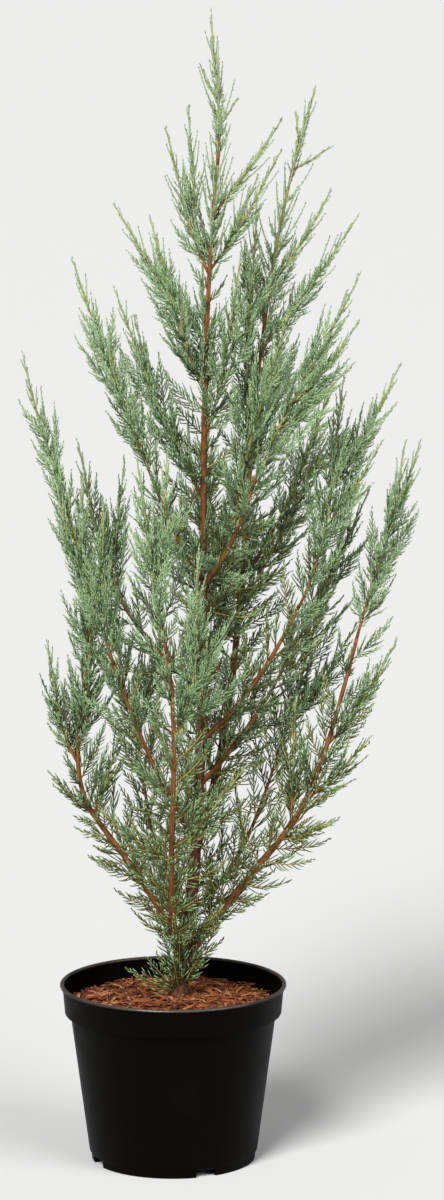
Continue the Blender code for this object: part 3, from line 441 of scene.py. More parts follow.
# Drawn thickness and mesh of stems, sprays and twigs, the taper and tips of twigs as shares
STEM_RADII = (0.0020, 0.0008)
SIDE_STEM_RADII = (0.0014, 0.0007)
STEM_SIDES = 6
STEM_RINGS = 14
STEM_WOOD_RINGS = 4
OVER_WOOD = 1.02
SPRAY_RADII = (0.00095, 0.00065)
SPRAY_SIDES = 4
SPRAY_RINGS = 5
TWIG_SIDES = 3
LONG_TWIG = 0.013
TWO_TONED_TWIG = 0.008
TWIG_SHARES = np.array((0.0, 0.4, 0.72, 1.0))
TWIG_TAPER = np.array((1.0, 1.0, 0.9))
TWIG_TIP_SHARES = np.array((0.50, 0.78, 1.01))
TWIG_TIP_SWELL = 1.12
LENGTH_SAMPLES = 13
FOLIAGE_SEED = 410
MOST_TRIANGLES = 190000

# Stage: lens and sensor in millimetres, where the camera stands and its pitch. Each light's share of the
# key strength, width, pitch and turn in degrees.
LENS = 149.83
SENSOR = 36.0
SEES_TO = 200
EYE_ACROSS = 0.0603
EYE_HEIGHT = 1.7303
EYE_PITCH = 0.1699
LIGHTS = (("key_light", 1.0, 24, 50, -23), ("fill_light", 0.40, 40, 58, 50))
FLOOR_RADIUS = 60
FLOOR_SIDES = 64

# Tints, and the least tone of each but the first. The darker tints on lower tones are partly painted shade.
TINTS = ("tip", "pale", "sage", "blue", "olive")
TINT_FROM = (None, 0.72, 0.54, 0.42, 0.0)
TWO_TONED_BELOW = TINT_FROM[2]

MASS_NAMES = [row[0] for row in MASSES]
MASS_WIDTHS = np.array([row[5] for row in MASSES])
UP = np.array((0.0, 0.0, 1.0))
HINT = np.array((0.83, 0.21, 0.1))
NEARLY_UP = UP + 0.01 * HINT
FRONT = np.array((0.25, -1.0, 0.1))


# Ramps, curves and tubes

def ramp(values, start, run):
    """From 0 at the start to 1 where the run is past it. A run below 0 goes down from the start."""
    return np.clip((values - start) / run, 0, 1)


def eased(part):
    return part**2 * (3 - 2 * part)


def unit(vectors):
    return vectors / np.linalg.norm(vectors, axis=-1, keepdims=True)


def of_curves(handles, shares):
    """The shares for each curve as a column, and the curves' four handles."""
    t = np.broadcast_to(shares, (len(handles), np.shape(shares)[-1]))[..., None]
    return t, *(handles[:, i, None] for i in range(4))


def bezier(handles, shares):
    """Points of many cubic curves: handles are (curves, 4, 3), shares (curves or 1, steps)."""
    t, a, b, c, d = of_curves(handles, shares)
    return (1 - t) ** 3 * a + 3 * (1 - t) ** 2 * t * b + 3 * (1 - t) * t**2 * c + t**3 * d


def heading(handles, shares):
    """Unit directions of many cubic curves at these shares of them."""
    t, a, b, c, d = of_curves(handles, shares)
    return unit((1 - t) ** 2 * (b - a) + 2 * (1 - t) * t * (c - b) + t**2 * (d - c))


def lengths_of(handles):
    points = bezier(handles, np.linspace(0, 1, LENGTH_SAMPLES))
    return np.linalg.norm(np.diff(points, axis=1), axis=2).sum(axis=1)


def side_of(ways, hints):
    """Unit vectors square to the ways, as near to the hints as can be."""
    flat = hints - ways * (hints * ways).sum(axis=-1, keepdims=True)
    return unit(flat + 1e-9)


def bearings_of(count):
    """This many even bearings round a circle."""
    return np.arange(count) * 2 * math.pi / count


def spokes(ways, sides):
    """This many unit vectors square to each way: cosine and sine of even angles along two that are."""
    u = side_of(ways, HINT)[..., None, :]
    v = np.cross(ways[..., None, :], u)
    angles = bearings_of(sides)[:, None]
    return np.cos(angles) * u + np.sin(angles) * v


def triangles(*corners):
    """Triangles from their three columns of corners, each an array or one number for all."""
    return np.stack(np.broadcast_arrays(*corners), axis=1)


def walls(sides, rings):
    """Triangles between each ring of points and the next."""
    i = np.arange(sides)
    j = (i + 1) % sides
    band = np.concatenate([triangles(i, j, sides + j), triangles(i, sides + j, sides + i)])
    return (np.arange(rings - 1)[:, None, None] * sides + band).reshape(-1, 3)


def tube_faces(sides, rings):
    """Triangles of one closed tube: a flat cap at the foot, walls, a fan at the tip point."""
    i = np.arange(sides)
    last = (rings - 1) * sides
    tip = triangles(last + i, last + (i + 1) % sides, last + sides)
    return np.concatenate([triangles(0, i[2:], i[1:-1]), walls(sides, rings), tip])


def bar_faces(sections):
    """Triangles of a four-sided bar with this many cross-sections, flat at both ends."""
    last = (sections - 1) * 4
    i = np.arange(4)
    end = triangles(last, last + i[1:-1], last + i[2:])
    return np.concatenate([triangles(0, i[2:], i[1:-1]), walls(4, sections), end])


def closed_rings(rings, foot, top):
    """A skin over rings of points, (rings, points, 3), closed to a middle point below and above."""
    count, sides = rings.shape[:2]
    i = np.arange(sides)
    j = (i + 1) % sides
    middle, last = count * sides, (count - 1) * sides
    ends = [triangles(middle, j, i), triangles(middle + 1, last + i, last + j)]
    points = np.concatenate([rings.reshape(-1, 3), [(0, 0, foot), (0, 0, top)]])
    return points, np.concatenate([walls(sides, count), *ends])


def tubes(handles, radii, sides, shares):
    """Closed tapering tubes along many curves at once, as (points, triangles).

    At each share but the last lies a ring: the curve's point plus the radius there times the spokes. The
    last share is the tip point.
    """
    centres = bezier(handles, shares)
    round_curve = spokes(heading(handles, shares)[:, :-1], sides)
    rings = centres[:, :-1, None] + np.asarray(radii)[:, None, None] * round_curve
    count = len(shares) - 1
    points = np.concatenate([rings.reshape(len(handles), sides * count, 3), centres[:, -1:]], axis=1)
    return repeated(points, tube_faces(sides, count))


def spindles(handles, radius):
    """Branchlets of six triangles: a point at the foot, three points round the curve, the tip."""
    centres = bezier(handles, np.array([0.0, 0.5, 1.0]))
    round_curve = spokes(heading(handles, np.array([0.5]))[:, 0], 3)
    points = np.concatenate([centres[:, :1], centres[:, 1:2] + radius * round_curve, centres[:, 2:]], axis=1)
    return repeated(points, np.array([(0, 2, 1), (0, 3, 2), (0, 1, 3), (4, 1, 2), (4, 2, 3), (4, 3, 1)]))


def repeated(points, faces):
    """One set of triangles used for each row of points, as one (points, triangles)."""
    starts = np.arange(len(points))[:, None, None] * points.shape[1]
    return points.reshape(-1, 3), (starts + faces).reshape(-1, 3)


def fused(parts):
    """Several (points, triangles) as one."""
    starts = np.cumsum([0] + [len(points) for points, faces in parts[:-1]])
    points = np.concatenate([points for points, faces in parts])
    return points, np.concatenate([faces + start for start, (_, faces) in zip(starts, parts)])


def piece_from(name, points, faces, material, slot, smooth=True):
    """A mesh object from arrays of points and of triangles, riding on the one body."""
    mesh = bpy.data.meshes.new(name)
    mesh.vertices.add(len(points))
    mesh.vertices.foreach_set("co", np.asarray(points, np.float32).ravel())
    mesh.loops.add(faces.size)
    mesh.loops.foreach_set("vertex_index", np.asarray(faces, np.int32).ravel())
    mesh.polygons.add(len(faces))
    mesh.polygons.foreach_set("loop_start", np.arange(0, faces.size, 3, dtype=np.int32))
    mesh.update(calc_edges=True)
    if smooth:
        mesh.shade_smooth()
    mesh.materials.append(material)
    piece = bpy.data.objects.new(name, mesh)
    bpy.context.scene.collection.objects.link(piece)
    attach(piece, "root")
    return piece


def lattice_noise(x, y, cells_x, seed):
    """Smooth noise from 0 to 1: random values on a lattice, blended between, wrapping round in x."""
    table = np.random.default_rng(seed).random((cells_x, LATTICE_ROWS))
    low_x, low_y = np.floor(x).astype(int), np.floor(y).astype(int)
    blend_x, blend_y = eased(x - low_x), eased(y - low_y)
    corners = [table[(low_x + i) % cells_x, (low_y + j) % LATTICE_ROWS] for j in (0, 1) for i in (0, 1)]
    near = corners[0] + (corners[1] - corners[0]) * blend_x
    far = corners[2] + (corners[3] - corners[2]) * blend_x
    return near + (far - near) * blend_y


# Limbs and stems, by the source's rule

class Limb:
    """A tapering limb along one cubic curve."""

    def __init__(self, handles, radii, flare=0.0):
        self.handles = np.array(handles, float)[None]
        self.radii = radii
        self.flare = flare

    def at(self, share):
        return bezier(self.handles, [share])[0, 0]

    def way(self, share):
        return heading(self.handles, [share])[0, 0]

    def radius(self, shares):
        rise = bezier(self.handles, shares)[0, :, 2] - self.handles[0, 0, 2]
        foot, tip = self.radii
        return foot + (tip - foot) * shares + self.flare * np.exp(-rise / FLARE_HEIGHT)


def limb_handles(foot, tip, low_bow, high_bow):
    """A third and two thirds of the straight run from foot to tip, each carried aside by its bow."""
    run = np.array(tip) - foot
    return foot, foot + run / 3 + low_bow, foot + run * 2 / 3 + high_bow, tip


def set_out_way(carrier_way, run):
    """The way a stem leaves its carrier: wide of its straight run, and well off the carrier's way."""
    length = np.linalg.norm(run)
    way = unit(run / length + SET_OUT_WIDE * run * (1, 1, 0) / length)
    if float(way @ carrier_way) < math.cos(LEAST_SET_OUT):
        return way
    return math.cos(LEAST_SET_OUT) * carrier_way + math.sin(LEAST_SET_OUT) * side_of(carrier_way, way)


def stem_from(limb, share, tip):
    """Handles of a stem that sets out from the limb at this share of it and turns upwards to its tip."""
    foot, way, tip = limb.at(share), limb.way(share), np.array(tip)
    if share < 1:
        way = set_out_way(way, tip - foot)
    length = np.linalg.norm(tip - foot)
    tip_way = unit((tip - foot) / length + TIP_RISE * UP)
    return np.array((foot, foot + way * length * HANDLE_SHARE, tip - tip_way * length * HANDLE_SHARE, tip))


def limbs_of_tree():
    limbs = {"trunk": Limb(TRUNK, TRUNK_RADII, TRUNK_FLARE)}
    for name, carrier, share, tip, low_bow, high_bow, foot_radius, tip_radius in LIMBS:
        handles = limb_handles(limbs[carrier].at(share), tip, low_bow, high_bow)
        limbs[name] = Limb(handles, (foot_radius, tip_radius))
    return limbs


def stems_of_masses(limbs):
    """Handles of each mass's main stem, then of all side stems, and which mass each belongs to."""
    main, side = [], []
    for order, (_, carrier, share, tip, shoots, _) in enumerate(MASSES):
        handles = stem_from(limbs[carrier], share, tip)
        main.append((handles, order))
        side += [(stem_from(Limb(handles, STEM_RADII), *shoot), order) for shoot in shoots]
    handles, masses = zip(*main, *side)
    return np.array(handles), np.array(masses)


# Growth of the finer orders

@dataclass
class Shoots:
    """Many shoots of one order, an array each for all of them.

    Handles, the vector that the next order lies square to, tone, mass (-1 is none), and how much of the
    parent is left past the foot. Their lengths follow from the handles.
    """

    handles: np.ndarray
    faces: np.ndarray
    tones: np.ndarray
    masses: np.ndarray
    left: np.ndarray

    def __post_init__(self):
        self.lengths = lengths_of(self.handles)

    def columns(self):
        return self.handles, self.faces, self.tones, self.masses, self.left

    def taken(self, kept):
        return Shoots(*(column[kept] for column in self.columns()))

    def reshaped(self, handles):
        return Shoots(handles, *self.columns()[1:])


def together(groups):
    """Several groups of shoots as one."""
    rows = zip(*(group.columns() for group in groups))
    return Shoots(*(np.concatenate(row) for row in rows))


def first_order(handles, masses):
    """Stems and limbs as shoots that face the front, with all of their parent left."""
    count = len(handles)
    return Shoots(handles, np.tile(unit(FRONT), (count, 1)), np.ones(count), masses, np.ones(count))


def shortened(handles, sizes):
    """Handles drawn in towards their feet to these sizes."""
    foot = handles[:, :1]
    return foot + (handles - foot) * sizes


def crown_radius(height):
    """Radius of the egg at this height: round below its widest height, drawn to a point above it.

    At its foot it is no wider than a cone, nor narrower than the tuft round the trunk.
    """
    below = ramp(height, CROWN_FOOT, CROWN_WIDEST - CROWN_FOOT) ** CROWN_BELLY
    above = 1 - ramp(height, CROWN_WIDEST, CROWN_TOP - CROWN_WIDEST) ** CROWN_POINT
    cone = np.where(height > TUFT_FOOT, np.maximum(TUFT_RADIUS, (height - CONE_FOOT) * CONE_SLOPE), 0)
    egg = np.where(height < TUFT_TOP, TUFT_RADIUS, CROWN_RADIUS * np.minimum(below, above))
    return np.minimum(egg, cone)


def crown_reach(points):
    """How far out of the crown's leaning axis the points lie."""
    leant = ramp(points[..., 2], CROWN_LEAN_FROM, CROWN_LEAN_TO - CROWN_LEAN_FROM)
    across = points[..., 0] - CROWN_FOOT_ACROSS - CROWN_LEAN * leant
    return np.hypot(across, points[..., 1] / CROWN_DEPTH)


def in_blocks(points, measure):
    """The measure of every point, taken in blocks that fit in memory."""
    flat = points.reshape(-1, 3).astype(np.float32)
    found = [measure(flat[start : start + BLOCK]) for start in range(0, len(flat), BLOCK)]
    return np.concatenate(found).reshape(points.shape[:-1])


def nearest(points, places):
    """Distance from each point to the nearest place."""
    places = places.reshape(-1, 3).astype(np.float32)
    square = (places**2).sum(axis=1)

    def distance(block):
        gaps = (block**2).sum(axis=1)[:, None] - 2 * block @ places.T + square
        return np.sqrt(np.maximum(gaps.min(axis=1), 0))

    return in_blocks(points, distance)


def turned(first, second, angles):
    """Vectors at these angles from the first ones towards the second."""
    return np.cos(angles)[:, None] * first + np.sin(angles)[:, None] * second


def shoot_handles(feet, ways, outs, angles, lengths):
    """A shoot leaves its parent at the angle and curls up towards the parent's own way."""
    set_out = unit(turned(ways, outs, angles))
    turned_up = unit(set_out + CURL_UP * ways + TURN_UP * UP)
    run = lengths[:, None]
    bend = feet + set_out * run * SHOOT_BEND
    return np.stack([feet, feet + set_out * run / 3, bend, bend + turned_up * run * (1 - SHOOT_BEND)], axis=1)


@dataclass
class Rule:
    """How the shoots of one order stand on their parents.

    They stand the spacing apart from the first to the last share of the parent, closer at its foot. The
    set-out angle is the tip angle at the parent's tip and opens to the wide angle where the reach is left
    of the parent. A shoot is as long as the least length plus a share of what is left of the parent
    past the whip, up to the most, and shorter where the parent itself is young: nearer to its own
    parent's tip than the young length. A limb is taken to go on beyond its tip by so much. Round a round
    stem they go by the golden angle, else left and right by turns. Those near the tip of a parent low in
    the crown are paler than those near its foot.
    """

    spacing: float
    span: tuple
    angles: tuple
    reach: float
    lengths: tuple
    whip: float = 0.0
    young: float = 0.01
    round_stem: bool = True
    beyond: float = 0.0
    paler: float = 0.0


def side_shoots(parents, rule, draw):
    """The next order of shoots on all the parents at once, by the rule."""
    first, last = rule.span
    tip_angle, wide_angle = (np.radians(angle) for angle in rule.angles)
    least, share_left, most = rule.lengths
    counts = np.maximum(1, np.round(parents.lengths * (last - first) / rule.spacing)).astype(int)
    of = np.repeat(np.arange(len(counts)), counts)
    order = np.arange(len(of)) - np.repeat(np.cumsum(counts) - counts, counts)
    places = (order + draw.uniform(*PLACE_VARIES, len(of))) / counts[of]
    shares = first + (last - first) * places**CROWDING
    handles = parents.handles[of]
    feet = bezier(handles, shares[:, None])[:, 0]
    ways = heading(handles, shares[:, None])[:, 0]
    if rule.round_stem:
        turn = draw.uniform(0, 2 * math.pi, len(counts))[of] + order * GOLDEN_ANGLE
        level = side_of(ways, NEARLY_UP)
        outs = turned(level, np.cross(ways, level), turn)
    else:
        lift = side_of(ways, parents.faces[of])
        across = np.cross(ways, lift) * np.where(order % 2 == 0, 1.0, -1.0)[:, None]
        outs = turned(across, lift, draw.normal(0, ROLL, len(of)))
    left = (1 - shares) * parents.lengths[of] + rule.beyond
    tones = parents.tones[of]
    low = 1 - np.minimum(tones, 1)
    opened = np.clip(left / rule.reach, 0, 1) * (1 + OPEN_LOW * low)
    wide, most = (np.broadcast_to(value, counts.shape)[of] for value in (wide_angle, most))
    angles = tip_angle + (wide - tip_angle) * opened + draw.normal(0, ANGLE_VARIES, len(of))
    vigour = np.clip(parents.left[of] / rule.young, LEAST_VIGOUR, 1)
    whip = rule.whip * np.where(tones > 1, LEADING_WHIP, 1) * ramp(feet[:, 2], WHIP_FROM, WHIP_RISE)
    knobs = (tones > 1) & (draw.uniform(0, 1, len(of)) > SUB_WHIPS * (1 - shares))
    past = np.where(knobs, 0, np.maximum(left - whip, 0))
    lengths = np.minimum(most * (1 - SHORT_LOW * low), least + share_left * past * vigour)
    lengths = lengths * draw.uniform(*LENGTH_VARIES, len(of))
    faces = unit(turned(np.cross(ways, outs), outs * FLATTENED, draw.uniform(0, math.pi, len(of))))
    made = shoot_handles(feet, ways, outs, angles, lengths)
    tones = np.where(tones > 1, tones, np.clip(tones + rule.paler * (shares - 0.5) * low, 0, 1))
    return Shoots(made, faces, tones, parents.masses[of], left)


class Space:
    """Keeps shoots inside the crown, nearer to their own mass's stems than to others', clear of limbs."""

    def __init__(self, limbs, stems):
        self.stems = bezier(stems.handles, np.linspace(0, 1, STEM_SAMPLES))
        self.owners = stems.masses
        shares = np.linspace(0, 1, LIMB_SAMPLES)
        points = [bezier(limb.handles, shares)[0] for limb in limbs.values()]
        self.limb_points = np.concatenate(points).astype(np.float32)
        self.limb_radii = np.concatenate([limb.radius(shares) for limb in limbs.values()])

    def clear_of_limbs(self, points):
        """Whether each shoot's points stay off the limbs, each limb point taken with its radius."""

        def clear(block):
            gaps = np.linalg.norm(block[:, None] - self.limb_points, axis=2) - self.limb_radii
            return gaps.min(axis=1) > LIMB_CLEARANCE

        return in_blocks(points, clear).all(axis=1)

    def holds(self, handles, masses):
        points = bezier(handles, TRIED_AT)
        clear = self.clear_of_limbs(points[:, 1:])
        own = np.full(points.shape[:2], FAR)
        other = np.full(points.shape[:2], FAR)
        for mass in np.unique(masses[masses >= 0]):
            rows = masses == mass
            own[rows] = nearest(points[rows], self.stems[self.owners == mass])
            other[rows] = nearest(points[rows], self.stems[self.owners != mass])
        apart = (other > own + SPACE_MARGIN).all(axis=1) | (masses < 0)
        inside = ((crown_reach(points) <= crown_radius(points[..., 2])) | (own < OUTSIDE_CROWN)).all(axis=1)
        return inside & clear & apart

    def fitted(self, shoots):
        """Each shoot at its full length, or the longest shorter one that keeps to its space, or none."""
        handles = shoots.handles.copy()
        done = np.zeros(len(handles), bool)
        for size in SHORTER:
            rows = np.flatnonzero(~done)
            if len(rows) == 0:
                break
            tried = shortened(shoots.handles[rows], size)
            held = self.holds(tried, shoots.masses[rows])
            handles[rows[held]] = tried[held]
            done[rows[held]] = True
        return shoots.reshaped(handles).taken(done)


def sprays_of(settings, limbs, stems, space, draw):
    """All sprays: on the stems and limbs, then the whips, foot sprays and low sprays."""
    widths = MASS_WIDTHS[stems.masses]
    slim = ramp(widths, WIDE_WIDTH, SLIM_WIDTH - WIDE_WIDTH)
    tip_angle, wide_angle = SPRAY_ANGLES
    least, share, most = SPRAY_LENGTHS
    rule = Rule(settings.spray_spacing, angles=(tip_angle, wide_angle * (1 - SLIM_CLOSER * slim)),
                lengths=(least, share, widths * most * (1 + SLIM_LONGER * slim)), **GROWTH["sprays"])
    on_stems = side_shoots(stems, rule, draw)
    bearers = {name: first_order(limb.handles, np.array([-1])) for name, limb in limbs.items()}
    inner = side_shoots(together(bearers.values()), Rule(settings.inner_spacing, **GROWTH["inner"]), draw)
    sizes = 1 - INNER_SHRINKS * ramp(inner.handles[:, 0, 2], SHRINKS_FROM, SHRINKS_OVER)
    inner = inner.reshaped(shortened(inner.handles, sizes[:, None, None]))
    more = []
    for name, mass, spacing, first, angles in WHIPS:
        leader = first_order(limbs[name].handles, np.array([MASS_NAMES.index(mass)]))
        rule = Rule(spacing, (first, WHIPS_END), angles, **GROWTH["whips"])
        more.append(side_shoots(leader, rule, draw))
    foot = np.array([stem_from(limbs["trunk"], share, tip) for share, tip in FOOT_SPRAYS])
    more.append(first_order(foot, np.full(len(foot), -1)))
    more += [side_shoots(bearers[name], Rule(span=span, **GROWTH["low"]), draw) for name, span in LOW_SPRAYS]
    more = together(more)
    more = more.taken(space.clear_of_limbs(bezier(more.handles, SPRAY_CLEAR_AT)))
    return together([space.fitted(together([on_stems, inner])), more])


def grown(settings):
    """The limbs and all orders of shoots: the stems, then sprays, twigs and branchlets."""
    draw = np.random.default_rng(FOLIAGE_SEED)
    limbs = limbs_of_tree()
    stems = first_order(*stems_of_masses(limbs))
    space = Space(limbs, stems)
    sprays = sprays_of(settings, limbs, stems, space, draw)
    sprays.tones = tone_of(sprays, draw)
    on_stems = side_shoots(stems, Rule(**GROWTH["stem_twigs"]), draw)
    on_stems.tones = tone_of(on_stems, draw)
    on_sprays = side_shoots(sprays, Rule(settings.twig_spacing, **GROWTH["twigs"]), draw)
    twigs = together([on_sprays, on_stems])
    twigs = twigs.taken(space.clear_of_limbs(bezier(twigs.handles, TWIG_CLEAR_AT)))
    varied = np.clip(twigs.tones + draw.normal(0, TWIG_VARIES, len(twigs.tones)), 0, 1)
    twigs.tones = np.where(twigs.tones > 1, twigs.tones, varied)
    rule = Rule(settings.branchlet_spacing, **GROWTH["branchlets"])
    branchlets = side_shoots(twigs.taken(twigs.lengths > BEARING_TWIG), rule, draw)
    branched = (branchlets.handles[:, 0, 2] - SIMPLE_BELOW) / SIMPLE_OVER
    less, share = BEARING_TONES
    chance = (share * branchlets.tones - less) * np.clip(branched, LEAST_BRANCHED, 1)
    branchlets = branchlets.taken(draw.uniform(0, 1, len(branchlets.tones)) < chance)
    paler = branchlets.tones + TIP_PALER + draw.normal(0, BRANCHLET_VARIES, len(branchlets.tones))
    branchlets.tones = np.where(branchlets.tones > 1, LEADING_TONE, np.clip(paler, 0, 1))
    return stems, sprays, twigs, branchlets


def tone_part(row, values):
    """What a row of the tone table adds: its weight times a ramp over the values."""
    weight, start, run = row
    return weight * ramp(values, start, run)


def tone_of(shoots, draw):
    """From 0 deep and low in the crown to 1 at its top and outside, and above 1 on the leading tips; in part
    painted light and shade.
    """
    tips = shoots.handles[:, 3]
    x, y, z = tips.T
    out = np.clip(crown_reach(tips) / np.maximum(crown_radius(z), LEAST_CROWN), 0, 1)
    # Lighter at the top and outside, partly the foliage's own paler colour and partly painted light; the
    # front is painted lit
    tone = TONE_OUT * out + tone_part(TONE_HIGH, z) + tone_part(FRONT_LIT_TONE, y)
    # Painted shade on the foot and on the low right side
    tone -= tone_part(SHADED_FOOT, z) + tone_part(SHADED_SIDE, z) * ramp(x, 0, SIDE_ACROSS)
    # Painted light on the front of the foot, then a random spread
    tone += tone_part(LIT_FOOT, z) * ramp(y, 0, LIT_DEPTH) + draw.normal(0, TONE_VARIES, len(tips))
    slender = (LEADING_WIDTH / MASS_WIDTHS[shoots.masses]) ** LEADING_POWER
    varied = LEADING_TIP * slender * draw.uniform(*LEADING_VARIES, len(tips))
    leading = (shoots.masses >= 0) & (shoots.left < varied * ramp(z, *TONE_HIGH[1:]))
    return np.where(leading, LEADING_TONE, np.clip(tone, 0, 1))


# Materials

def node_group(name, inputs, outputs):
    """An empty shader group with these (socket kind, name, default) inputs and outputs."""
    group = bpy.data.node_groups.new(name, "ShaderNodeTree")
    for kind, label, default in inputs:
        socket = group.interface.new_socket(label, in_out="INPUT", socket_type=kind)
        socket.default_value = default
    for kind, label in outputs:
        group.interface.new_socket(label, in_out="OUTPUT", socket_type=kind)
    return group, group.nodes.new("NodeGroupInput"), group.nodes.new("NodeGroupOutput")


def linked(tree, node, links):
    """The node, with each named input of it fed by its source socket."""
    for name, source in links.items():
        tree.links.new(source, node.inputs[name])
    return node


def added(tree, kind, settings=(), values=(), links=()):
    """A new node with these settings, unlinked socket values and links."""
    node = tree.nodes.new(kind)
    for name, value in dict(settings).items():
        setattr(node, name, value)
    for name, value in dict(values).items():
        node.inputs[name].default_value = value
    return linked(tree, node, dict(links))


def mixed(tree, factor, first, second, blend="MIX"):
    """A mix of two colour sockets, by a factor that is a socket or a number."""
    settings = {"data_type": "RGBA", "blend_type": blend}
    mix = added(tree, "ShaderNodeMix", settings, links={6: first, 7: second})
    if isinstance(factor, float):
        mix.inputs[0].default_value = factor
    else:
        linked(tree, mix, {0: factor})
    return mix.outputs[2]


def mottle_group():
    """Blotches: noise picks between two colours, and gives the same noise as a mask."""
    known = bpy.data.node_groups.get("mottle")
    if known:
        return known
    group, given, out = node_group(
        "mottle",
        [
            ("NodeSocketColor", "Light", (0.5, 0.5, 0.5, 1)),
            ("NodeSocketColor", "Dark", (0.2, 0.2, 0.2, 1)),
            ("NodeSocketVector", "Place", (0, 0, 0)),
            ("NodeSocketFloat", "Scale", 50.0),
            ("NodeSocketFloat", "Low", 0.35),
            ("NodeSocketFloat", "High", 0.65),
        ],
        [("NodeSocketColor", "Color"), ("NodeSocketFloat", "Mask")],
    )
    given = given.outputs
    noise = added(group, "ShaderNodeTexNoise", values={"Detail": 4.0, "Roughness": 0.6},
                  links={"Vector": given["Place"], "Scale": given["Scale"]})
    mask = added(group, "ShaderNodeMapRange", {"interpolation_type": "SMOOTHSTEP"}, links={
        "Value": noise.outputs["Fac"], "From Min": given["Low"], "From Max": given["High"]})
    colour = mixed(group, mask.outputs["Result"], given["Dark"], given["Light"])
    linked(group, out, {"Color": colour, "Mask": mask.outputs["Result"]})
    return group


def bare_material(name, roughness, specular=0.5, colour=(0.5, 0.5, 0.5)):
    """A material with its node tree and its shader, plain so far."""
    material = bpy.data.materials.new(name)
    material.use_nodes = True
    shader = material.node_tree.nodes["Principled BSDF"]
    shader.inputs["Roughness"].default_value = roughness
    shader.inputs["Specular IOR Level"].default_value = specular
    shader.inputs["Base Color"].default_value = (*colour, 1.0)
    return material, material.node_tree, shader


def place_node(tree):
    """Object coordinates."""
    return added(tree, "ShaderNodeTexCoord").outputs["Object"]


def stretched_uv(tree, scale):
    """The bark map, u round the limb and v along it in metres, stretched by the scale."""
    uv = added(tree, "ShaderNodeUVMap", {"uv_map": "bark"})
    links = {"Vector": uv.outputs["UV"]}
    return added(tree, "ShaderNodeMapping", values={"Scale": scale}, links=links).outputs["Vector"]


def mottled(tree, place, light, dark, scale, low=0.35, high=0.65):
    """The outputs of the blotches with these colours, at this place."""
    values = {"Light": (*light, 1.0), "Dark": (*dark, 1.0), "Scale": scale, "Low": low, "High": high}
    return added(tree, "ShaderNodeGroup", {"node_tree": mottle_group()}, values, {"Place": place}).outputs


def bumped(tree, shader, height, strength, distance):
    bump = added(tree, "ShaderNodeBump", values={"Strength": strength, "Distance": distance},
                 links={"Height": height})
    linked(tree, shader, {"Normal": bump.outputs["Normal"]})


def shaded(colour, factor):
    return tuple(part * factor for part in colour)


def leaf_material(name, colour):
    """Scale leaves: a plain tint with slight blotches and a fine scaly relief."""
    material, tree, shader = bare_material(name, roughness=0.62, specular=0.15)
    place = place_node(tree)
    blotch = mottled(tree, place, shaded(colour, 1.10), shaded(colour, 0.86), scale=60.0)
    scales = added(tree, "ShaderNodeTexVoronoi", values={"Scale": 700.0}, links={"Vector": place})
    linked(tree, shader, {"Base Color": blotch["Color"]})
    bumped(tree, shader, scales.outputs["Distance"], strength=0.35, distance=0.0004)
    return material


def bark_material(name, young, old, shoot):
    """Fibrous bark on the piece's own map.

    The piece's age attribute, from 0 on thin boughs to 1 at the trunk's foot, goes from the young to the
    old colour, and its fresh attribute to the green of new wood on the leaders' ends. Strips of two tones
    run along the limb, with finer dark seams between them.
    """
    material, tree, shader = bare_material(name, roughness=0.85, specular=0.25)
    place = stretched_uv(tree, (9.0, 60.0, 1.0))

    def strips(colour):
        light, dark = shaded(colour, 1.25), shaded(colour, 0.55)
        return mottled(tree, place, light, dark, scale=1.0, low=0.36, high=0.62)["Color"]

    tone = strips(young)
    for label, colour in (("age", old), ("fresh", shoot)):
        part = added(tree, "ShaderNodeAttribute", {"attribute_name": label})
        tone = mixed(tree, part.outputs["Fac"], tone, strips(colour))
    fine = stretched_uv(tree, (30.0, 120.0, 1.0))
    seams = mottled(tree, fine, (1, 1, 1), (0.35, 0.30, 0.28), scale=1.0, low=0.30, high=0.52)
    linked(tree, shader, {"Base Color": mixed(tree, 0.85, tone, seams["Color"], "MULTIPLY")})
    bumped(tree, shader, seams["Mask"], strength=0.6, distance=0.0006)
    return material


def chip_material(name, colour):
    """Shredded bark: fine streaks of a darker tone over the chip's own."""
    material, tree, shader = bare_material(name, roughness=0.9, specular=0.2)
    light, dark = shaded(colour, 1.15), shaded(colour, 0.6)
    blotch = mottled(tree, place_node(tree), light, dark, scale=260.0, low=0.3, high=0.6)
    linked(tree, shader, {"Base Color": blotch["Color"]})
    bumped(tree, shader, blotch["Mask"], strength=0.5, distance=0.0006)
    return material


